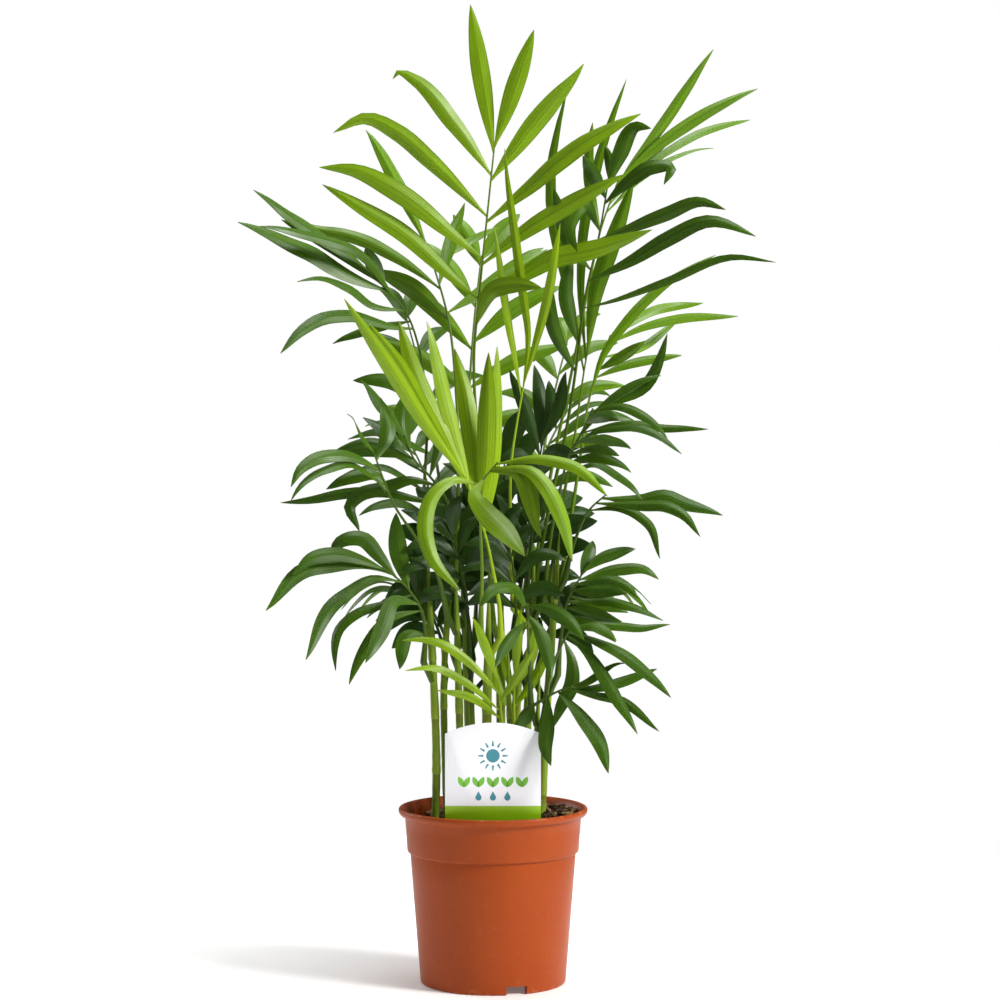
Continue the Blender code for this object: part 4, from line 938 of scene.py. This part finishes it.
def make_crumbs(material):
    """Bark chips, peat crumbs and a few coir fibres lying on the soil."""
    fresh_start()
    bpy.ops.mesh.primitive_ico_sphere_add(subdivisions=1, radius=1)
    ball = bpy.context.object
    corners = [Vector(v.co) for v in ball.data.vertices]
    sides = [tuple(f.vertices) for f in ball.data.polygons]
    bpy.data.objects.remove(ball)
    luck = random.Random("crumbs")
    parts = Parts("tone")
    for _ in range(CHIPS):
        away = (BAND_TOP_RADIUS - 3) * math.sqrt(luck.random())
        turn = luck.uniform(0, math.tau)
        x, y = away * math.cos(turn), away * math.sin(turn)
        size = 0.9 + 3.0 * luck.random() ** 2
        shape = [size * luck.uniform(low, high) for low, high in CHIP_SHAPE]
        lean = Matrix.Rotation(luck.gauss(0, 0.5), 3, "X") @ Matrix.Rotation(luck.gauss(0, 0.4), 3, "Y")
        spin = Matrix.Rotation(luck.uniform(0, math.tau), 3, "Z")
        centre = Vector((x, y, soil_height(x, y) + 0.3 * size))
        points = [
            centre + spin @ lean @ Vector(c * s * luck.uniform(0.75, 1.2) for c, s in zip(corner, shape))
            for corner in corners
        ]
        parts.add(points, sides, tone=luck.random())
    for _ in range(FIBRES):
        away = (BAND_TOP_RADIUS - 6) * math.sqrt(luck.random())
        turn, way = luck.uniform(0, math.tau), luck.uniform(0, math.tau)
        reach, bow = luck.uniform(3, 8), luck.uniform(-2.5, 2.5)
        line = []
        for share in (-1, -0.5, 0, 0.5, 1):
            x = away * math.cos(turn) + math.cos(way) * reach * share - math.sin(way) * bow * share**2
            y = away * math.sin(turn) + math.sin(way) * reach * share + math.cos(way) * bow * share**2
            inside = min(1.0, (BAND_TOP_RADIUS - 3) / max(1.0, math.hypot(x, y)))
            x, y = x * inside, y * inside
            line.append((x, y, soil_height(x, y) + 1.0 + 0.8 * (1 - share**2)))
        points, faces = swept(line, [0.1, 0.24, 0.28, 0.24, 0.1], 6)
        parts.add(points, faces, tone=luck.uniform(0.6, 1.0))
    return finish_piece(parts.build("soil_crumbs"), "soil_crumbs", "soil", [material], smooth=30)


def flat_plate(name, outline, near, thick, bevel):
    """A plate cut to an outline of (x, z) points, from y = near, with its front edge eased."""
    fresh_start()
    mesh = bpy.data.meshes.new(name)
    mesh.from_pydata([(x, near, z) for x, z in outline], [], [tuple(range(len(outline)))])
    thing = bpy.data.objects.new(name, mesh)
    bpy.context.collection.objects.link(thing)
    edit(thing, lambda place: True)
    bpy.ops.mesh.extrude_region_move(TRANSFORM_OT_translate={"value": (0, thick, 0)})
    bpy.ops.mesh.select_all(action="SELECT")
    bpy.ops.mesh.normals_make_consistent(inside=False)
    leave_edit()
    if bevel:
        corner = math.radians(60)
        apply_modifier(thing, "BEVEL", width=bevel, segments=2, limit_method="ANGLE", angle_limit=corner)
    return thing


def make_label(material):
    """The card and its stake, cut from one sheet, with a softly arched top."""
    half = LABEL_HIGH.x
    rise = LABEL_HIGH.z - LABEL_SHOULDER
    radius = (half**2 + rise**2) / (2 * rise)
    reach = math.degrees(math.asin(half / radius))
    foot = LABEL_LOW.z
    outline = [
        (-half, LABEL_FOOT), (-STAKE_HALF, LABEL_FOOT), (-STAKE_HALF, foot + 18), (0, foot),
        (STAKE_HALF, foot + 18), (STAKE_HALF, LABEL_FOOT), (half, LABEL_FOOT),
    ]
    outline += arc((0, LABEL_HIGH.z - radius), radius, 90 - reach, 90 + reach, 28)
    card = flat_plate("label_card", outline, LABEL_LOW.y, LABEL_HIGH.y - LABEL_LOW.y, 0.18)
    return finish_piece(card, "label_card", "label_plastic", [material], "plant_label", smooth=40)


def leaf_outline(length, width, turn, centre):
    """A pointed oval, from its foot at the centre, turned clockwise from upright by turn degrees."""
    steps = 12
    right = [(width / 2 * math.sin(math.pi * i / steps) ** 0.8, length * i / steps) for i in range(steps + 1)]
    ring = right + [(-x, z) for x, z in reversed(right[1:-1])]
    lean = Matrix.Rotation(math.radians(turn), 2).transposed()
    return [tuple(Vector(centre) + lean @ Vector(point)) for point in ring]


def drop_outline(radius, centre):
    """A water drop: a round foot and a pointed top."""
    round_part = arc(centre, radius, 150, 390, 20)
    return round_part + [(centre[0], centre[1] + radius * 2.1)]


def make_print(green, teal):
    """Plain care signs in place of the label's wording: a sun, a row of leaves and a row of drops."""
    middle = (0.0, LABEL_HIGH.z - 20.6)
    sun_radius, ray_from, ray_to, ray_half = 4.2, 6.0, 9.2, 0.7
    ray = (ray_from, -ray_half), (ray_to, -ray_half / 2), (ray_to, ray_half / 2), (ray_from, ray_half)
    teal_shapes = [arc(middle, sun_radius, 0, 345, 23)]
    for i in range(12):
        turn = math.tau * i / 12
        ahead, across = (math.cos(turn), math.sin(turn)), (-math.sin(turn), math.cos(turn))
        teal_shapes.append([
            (middle[0] + ahead[0] * a + across[0] * b, middle[1] + ahead[1] * a + across[1] * b)
            for a, b in ray
        ])
    drops, leaves = LABEL_BAND + 5.2, LABEL_BAND + 11.6
    teal_shapes += [drop_outline(1.9, (x, drops)) for x in (-9, 0, 9)]
    green_shapes = [
        leaf_outline(7.5, 3.4, turn, (x, leaves)) for x in (-18, -9, 0, 9, 18) for turn in (-28, 28)
    ]
    prints = (("label_print_green", green_shapes, green), ("label_print_teal", teal_shapes, teal))
    for name, shapes, material in prints:
        plates = [flat_plate(name, shape, LABEL_LOW.y - 0.05, 0.09, 0) for shape in shapes]
        fresh_start()
        for plate in plates:
            plate.select_set(True)
        bpy.context.view_layer.objects.active = plates[0]
        bpy.ops.object.join()
        finish_piece(plates[0], name, "label_plastic", [material], smooth=30)


# ---- Canes and fronds


def along(points, shares):
    """Places and unit tangents at those shares of the length of a smooth curve through the points."""
    p = np.array(points, float)
    knots = np.concatenate([[0], np.cumsum(np.linalg.norm(np.diff(p, axis=0), axis=1))])
    slopes = np.gradient(p, knots, axis=0)
    u = np.linspace(0, knots[-1], 240)
    i = np.clip(np.searchsorted(knots, u, side="right") - 1, 0, len(p) - 2)
    width = (knots[i + 1] - knots[i])[:, None]
    h = (u - knots[i])[:, None] / width
    fine = (
        (2 * h**3 - 3 * h**2 + 1) * p[i] + (h**3 - 2 * h**2 + h) * width * slopes[i]
        + (3 * h**2 - 2 * h**3) * p[i + 1] + (h**3 - h**2) * width * slopes[i + 1]
    )
    run = np.concatenate([[0], np.cumsum(np.linalg.norm(np.diff(fine, axis=0), axis=1))])
    at = np.asarray(shares, float) * run[-1]
    places, ahead, behind = (
        np.stack([np.interp(at + step, run, fine[:, k]) for k in range(3)], axis=1) for step in (0, 0.6, -0.6)
    )
    tangents = ahead - behind
    return places, tangents / np.linalg.norm(tangents, axis=1)[:, None], run[-1]


def make_cane(name, stations, foot, top, material):
    """A cane with a fine scar at each node, pale sheaths round parts of it, and a spear at its top."""
    luck = random.Random(name)
    end, before = Vector(stations[-1]), Vector(stations[-2])
    spear = end + (end - before).normalized() * CANE_TIP
    line = [*stations, tuple(spear)]
    _, _, length = along(line, [0])
    nodes, at = [], luck.uniform(26, 44)
    while at < length - CANE_TIP - 8:
        nodes.append(at)
        at += luck.uniform(34, 58)
    near_nodes = [n + d for n in nodes for d in (-0.9, -0.4, 0.3, 0.8, 2.0)]
    stops = sorted(s for s in {0.0, length, *np.arange(0, length, 4.0), *near_nodes} if s <= length)
    places, _, _ = along(line, np.array(stops) / length)
    radii, scars, sheaths = [], [], []
    for stop in stops:
        tip = min(1.0, max(0.0, (length - stop) / (CANE_TIP * 1.6)))
        radius = (foot + (top - foot) * stop / length) * tip**0.6
        scar = max([math.exp(-(((stop - n) / 0.6) ** 2)) for n in nodes] or [0.0])
        sheath = max([1 - (stop - n) / 26 for n in nodes if 0.7 < stop - n < 22] or [0.0])
        radii.append(max(0.15, radius * (1 + 0.04 * luck.uniform(-1, 1)) + 0.22 * scar + 0.3 * sheath))
        scars.append(scar)
        sheaths.append(sheath)
    points, faces = swept(places, radii, CANE_SIDES)
    parts = Parts("scar", "sheath", "tone")
    rings = [min(i // CANE_SIDES, len(stops) - 1) for i in range(len(points))]
    scars, sheaths = [scars[r] for r in rings], [sheaths[r] for r in rings]
    parts.add(points, faces, scar=scars, sheath=sheaths, tone=luck.random())
    finish_piece(parts.build(name), f"{name}_stem", "cane", [material], name, smooth=40)


def model_leaflet():
    """One leaflet, flat, its midrib along Y: a pleated grid narrowed row by row, then given its thickness.

    Returns its points, its faces, and for each point its share of the length, whether it is underneath, and
    its share of the width.
    """
    fresh_start()
    bpy.ops.mesh.primitive_grid_add(x_subdivisions=BLADE_ACROSS, y_subdivisions=BLADE_ALONG, size=1)
    blade = bpy.context.object
    edit(blade, lambda place: True)
    bpy.ops.transform.translate(value=(0, 0.5, 0))
    bpy.ops.transform.resize(value=(BLADE_WIDTH, BLADE_LENGTH, 1), center_override=(0, 0, 0))
    leave_edit()
    column = BLADE_WIDTH / BLADE_ACROSS
    edit(blade, lambda place: round(place.x / column) % 2 == 1)
    bpy.ops.transform.translate(value=(0, 0, 0.12))
    leave_edit()
    for i in range(BLADE_ALONG + 1):
        share = i / BLADE_ALONG
        height = share * BLADE_LENGTH
        edit(blade, lambda place: abs(place.y - height) < 0.5)
        full = max(0.03, math.sin(math.pi * share**1.12) ** 0.78) if 0 < share < 1 else 0.03
        full = max(full, 0.12) if share < 0.5 else full
        bpy.ops.transform.resize(value=(full, 1, full), center_override=(0, height, 0))
        leave_edit()
    apply_modifier(blade, "SOLIDIFY", thickness=BLADE_THICK, offset=0)
    mesh = blade.data
    points = np.array([tuple(v.co) for v in mesh.vertices])
    under = np.array([1.0 if v.normal.z < 0 else 0.0 for v in mesh.vertices])
    faces = [tuple(f.vertices) for f in mesh.polygons]
    bpy.data.objects.remove(blade)
    shares = points[:, 1] / BLADE_LENGTH
    row_half = {}
    for share, x in zip(shares, points[:, 0]):
        row = round(share * BLADE_ALONG)
        row_half[row] = max(row_half.get(row, 0.02), abs(x))
    across = [0.5 + 0.5 * x / row_half[round(share * BLADE_ALONG)] for x, share in zip(points[:, 0], shares)]
    return points, faces, shares, under, across


def seen(x, z, y):
    """Where a point drawn at x, z in the front view lies, when it is y deep."""
    scale = (y - EYE[1]) / -EYE[1]
    return Vector((EYE[0] + (x - EYE[0]) * scale, y, EYE[2] + (z - EYE[2]) * scale))


def drawn_frond(age, face, turn, midrib, leaflets):
    """A frond's age, facing, midrib points, and leaflets as (path, width, the way they were swung clear)."""
    rib = [seen(x, z, y) for x, y, z in midrib]
    heights, depths = [p[2] for p in midrib], [p[1] for p in midrib]
    sprays = []
    for width, depth, *flat in leaflets:
        spots = list(zip(flat[::2], flat[1::2]))
        steps = np.hypot(*np.diff(np.array(spots, float), axis=0).T)
        shares = np.concatenate([[0], np.cumsum(steps)]) / steps.sum()
        root_depth = float(np.interp(spots[0][1], heights, depths))
        path = [
            seen(x, z, root_depth + depth * share + turn * abs(x - spots[0][0]))
            for (x, z), share in zip(spots, shares)
        ]
        sprays.append((path, width, Vector((0, 1, 0))))
    return age, Vector(face).normalized(), rib, sprays


def leaning_frond(age, face, midrib, pairs, reach, width, hang):
    """The same for a frond whose leaflets follow a rule: longest in the middle, closing up at its tip."""
    face = Vector(face).normalized()
    rib = [Vector(p) for p in midrib]
    places, tangents, _ = along(rib, np.linspace(0.5, 0.985, pairs))
    sprays = []
    for i, (place, tangent) in enumerate(zip(places, tangents)):
        place, tangent = Vector(place), Vector(tangent)
        out = tangent.cross(face).normalized()
        opening = math.radians(66 - 38 * i / (pairs - 1))
        length = reach * (1 - 0.3 * abs(2 * i / (pairs - 1) - 0.8) ** 1.5)
        for side in (1, -1):
            way = tangent * math.cos(opening) + out * side * math.sin(opening)
            root = place + tangent * 2.0 * side
            down = Vector((0, 0, -1)) * hang * length
            path = [root, root + way * length * 0.5 - down * 0.12, root + way * length * 0.95 + down]
            sprays.append((path, width, face))
    return age, face, rib, sprays


def rooted(name, rib, sprays):
    """Each leaflet's path from its own stretch of the midrib to where its tip is in the frame."""
    fine = np.linspace(0, 1, 400)
    line, _, length = along(rib, fine)
    wanted = [fine[np.argmin(np.linalg.norm(line - np.array(path[0]), axis=1))] for path, _, _ in sprays]
    order = sorted(range(len(sprays)), key=lambda i: (wanted[i], i))
    gap, limit = LEAFLET_SPACING / length, 1 - (ROOT_HALF + 0.6) / length
    shares = [wanted[i] for i in order]
    for k in range(1, len(shares)):
        shares[k] = max(shares[k], shares[k - 1] + gap)
    for k in range(len(shares) - 1, -1, -1):
        shares[k] = min(shares[k], limit if k == len(shares) - 1 else shares[k + 1] - gap)
    roots, _, _ = along(rib, shares)
    corners = np.array([tuple(v.co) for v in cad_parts[name].data.vertices]) / MM
    found = []
    for i, root in zip(order, roots):
        path, width, axis = sprays[i]
        offset = corners - np.array(path[-1])
        swing = offset @ np.array(axis)
        aside = np.linalg.norm(offset - swing[:, None] * np.array(axis), axis=1)
        aside[abs(swing) > MOST_SWING] = np.inf
        nearest = int(np.argmin(aside))
        steps = np.cumsum([0.0] + [(b - a).length for a, b in zip(path, path[1:])])
        moved = [p + axis * swing[nearest] * step / steps[-1] for p, step in zip(path, steps)]
        found.append(([Vector(root), *moved[1:]], width))
    return found


def bent_leaflet(template, path, width, face, luck):
    """The template's points laid along a path, with its own fold, twist, waviness and curling tip."""
    flat, _, shares, _, _ = template
    rows = np.round(shares * BLADE_ALONG).astype(int)
    places, tangents, length = along(path, np.arange(BLADE_ALONG + 1) / BLADE_ALONG)
    face = np.array(face)
    s = np.arange(BLADE_ALONG + 1) / BLADE_ALONG
    front = face - tangents * (tangents @ face)[:, None]
    front /= np.linalg.norm(front, axis=1)[:, None]
    far = np.cross(tangents, front)
    roll = math.radians(luck.gauss(0, 13)) + math.radians(luck.gauss(0, 22)) * s**2
    turned_far = far * np.cos(roll)[:, None] + front * np.sin(roll)[:, None]
    turned_front = front * np.cos(roll)[:, None] - far * np.sin(roll)[:, None]
    curl = luck.uniform(0.2, 1.0) * 3.2 * np.clip((s - 0.8) / 0.2, 0, 1) ** 2
    places = places - turned_front * curl[:, None]
    fold = math.radians(luck.uniform(9, 24))
    wave, phase = luck.uniform(0.1, 0.45), luck.uniform(0, math.tau)
    aside = flat[:, 0] * width * FULLNESS / BLADE_WIDTH
    base = 1 + 1.6 * np.clip(1 - shares / 0.07, 0, 1)
    rise = flat[:, 2] * base - abs(aside) * math.sin(fold)
    rise += wave * np.sin(phase + shares * length / 4.5) * abs(flat[:, 0]) / (BLADE_WIDTH / 2)
    aside = aside * math.cos(fold)
    return places[rows] + turned_far[rows] * aside[:, None] + turned_front[rows] * rise[:, None]


def nearest_cane(place):
    """The point on the closest cane a little below a place, and the cane's radius."""
    best = None
    for stations, foot, top in CANES.values():
        places, _, _ = along(stations, np.linspace(0, 1, 60))
        gaps = np.linalg.norm(places[:, :2] - np.array(place)[:2], axis=1)
        gaps += 0.3 * abs(places[:, 2] - place[2] + 14)
        k = int(np.argmin(gaps))
        if best is None or gaps[k] < best[0]:
            best = (gaps[k], Vector(places[k]), foot + (top - foot) * k / 59)
    return best[1], best[2]


def make_frond(name, age, face, rib, sprays, template, material):
    """A whole leaf: petiole clasping its cane, midrib, and leaflets."""
    luck = random.Random(name)
    _, blade_faces, shares, under, across = template
    parts = Parts("tone", "under", "stalk", "u", "v")
    cane, cane_radius = nearest_cane(rib[0])
    inside = cane + (rib[0] - cane) * 0.15
    _, _, length = along(rib, [0])
    rib_places, _, _ = along(rib, np.linspace(0, 1, 34))
    line = [inside, (inside + rib[0]) / 2, *(Vector(p) for p in rib_places)]
    radii = [cane_radius * 0.9, cane_radius * 0.85]
    for share in np.linspace(0, 1, 34):
        flare = max(0.0, 1 - share * length / 34) ** 2
        radii.append(PETIOLE_RADIUS + (MIDRIB_RADIUS - PETIOLE_RADIUS) * share + flare * 0.8)
    points, faces = swept(line, radii, 8)
    parts.add(points, faces, stalk=1.0, tone=0.4)
    shift = luck.uniform(-0.12, 0.12)
    for path, width in rooted(name, rib, sprays):
        tone = min(1.0, max(0.0, luck.gauss(0.42, 0.22) + shift))
        placed = bent_leaflet(template, path, width, face, luck)
        parts.add(placed, blade_faces, tone=tone, under=under, u=across, v=shares)
    thing = parts.build(name)
    layer = thing.data.uv_layers.new(name="blade")
    for loop, corner in zip(thing.data.loops, layer.data):
        corner.uv = (parts.values["u"][loop.vertex_index], parts.values["v"][loop.vertex_index])
    thing.data.attributes.remove(thing.data.attributes["u"])
    thing.data.attributes.remove(thing.data.attributes["v"])
    finish_piece(thing, f"{name}_leaf", LEAF_SLOTS[age], [material], name, smooth=50)


# ---- Stage


def make_stage():
    """A round pale floor, soft lights and the camera."""
    material, tree, shader = new_material(
        "studio_paper", Roughness=0.9, Specular_IOR_Level=0.1,
        Emission_Color=(1, 1, 1, 1), Emission_Strength=0.12,
    )
    place = node(tree, "TexCoord").outputs["Object"]
    grain = noise_at(tree, place, 1.2)
    tree.links.new(mixed(tree, grain, paint("paper"), paint("pale paper")), shader.inputs["Base Color"])
    fresh_start()
    bpy.ops.mesh.primitive_circle_add(vertices=96, radius=FLOOR_RADIUS, fill_type="NGON", location=(0, 0, 0))
    floor = bpy.context.object
    floor.name = "studio_floor"
    floor.data.materials.append(material)

    world = bpy.data.worlds.new("studio")
    bpy.context.scene.world = world
    world.use_nodes = True
    sky = world.node_tree
    sky.nodes.clear()
    backdrop = node(sky, "Background", {"Color": (1, 1, 1, 1), "Strength": 1.0})
    air = node(sky, "Background", {"Color": (1, 1, 1, 1), "Strength": AIR_LIGHT})
    seen_ray = node(sky, "LightPath").outputs["Is Camera Ray"]
    both = node(sky, "MixShader", {0: seen_ray, 1: air.outputs[0], 2: backdrop.outputs[0]})
    node(sky, "OutputWorld", {"Surface": both.outputs[0]})

    for name, (place, size, power, tint) in LAMPS.items():
        bpy.ops.object.light_add(type="AREA", location=place)
        lamp = bpy.context.object
        lamp.name = name
        lamp.data.size = size
        lamp.data.energy = power
        lamp.data.color = tint
        lamp.rotation_euler = (Vector((0, 0, 0.3)) - Vector(place)).to_track_quat("-Z", "Y").to_euler()

    eye, aim = Vector(EYE) * MM, Vector(LOOK_AT) * MM
    bpy.ops.object.camera_add(location=eye)
    camera = bpy.context.object
    camera.rotation_euler = (aim - eye).to_track_quat("-Z", "Y").to_euler()
    camera.data.sensor_width = SENSOR
    camera.data.lens = SENSOR * (aim - eye).length / (VIEW_WIDTH * MM)
    bpy.context.scene.camera = camera
    bpy.context.scene.view_settings.view_transform = "Standard"


mottle = make_mottle_group()
markings = make_leaf_group(mottle)
leaf_materials = {age: make_leaf_material(age, markings) for age in LEAF_COLOURS}
cane_material = make_cane_material(mottle)
soil_material = make_soil_material(mottle)

make_pot(make_pot_material(mottle))
make_soil(soil_material)
make_crumbs(soil_material)
make_label(make_label_material(mottle))
make_print(make_ink_material("green_ink", mottle), make_ink_material("teal_ink", mottle))
for name, (stations, foot, top) in CANES.items():
    make_cane(name, stations, foot, top, cane_material)

leaflet = model_leaflet()
fronds = {name: drawn_frond(*spec) for name, spec in DRAWN.items()}
fronds.update({name: leaning_frond(*spec) for name, spec in LEANING.items()})
for name, (age, face, rib, sprays) in fronds.items():
    # Fronds inside the clump take the darker leaf colours, as painted shade.
    shade = "painted_shade" if name.startswith(SHADED) else age
    make_frond(name, age, face, rib, sprays, leaflet, leaf_materials[shade])
make_stage()
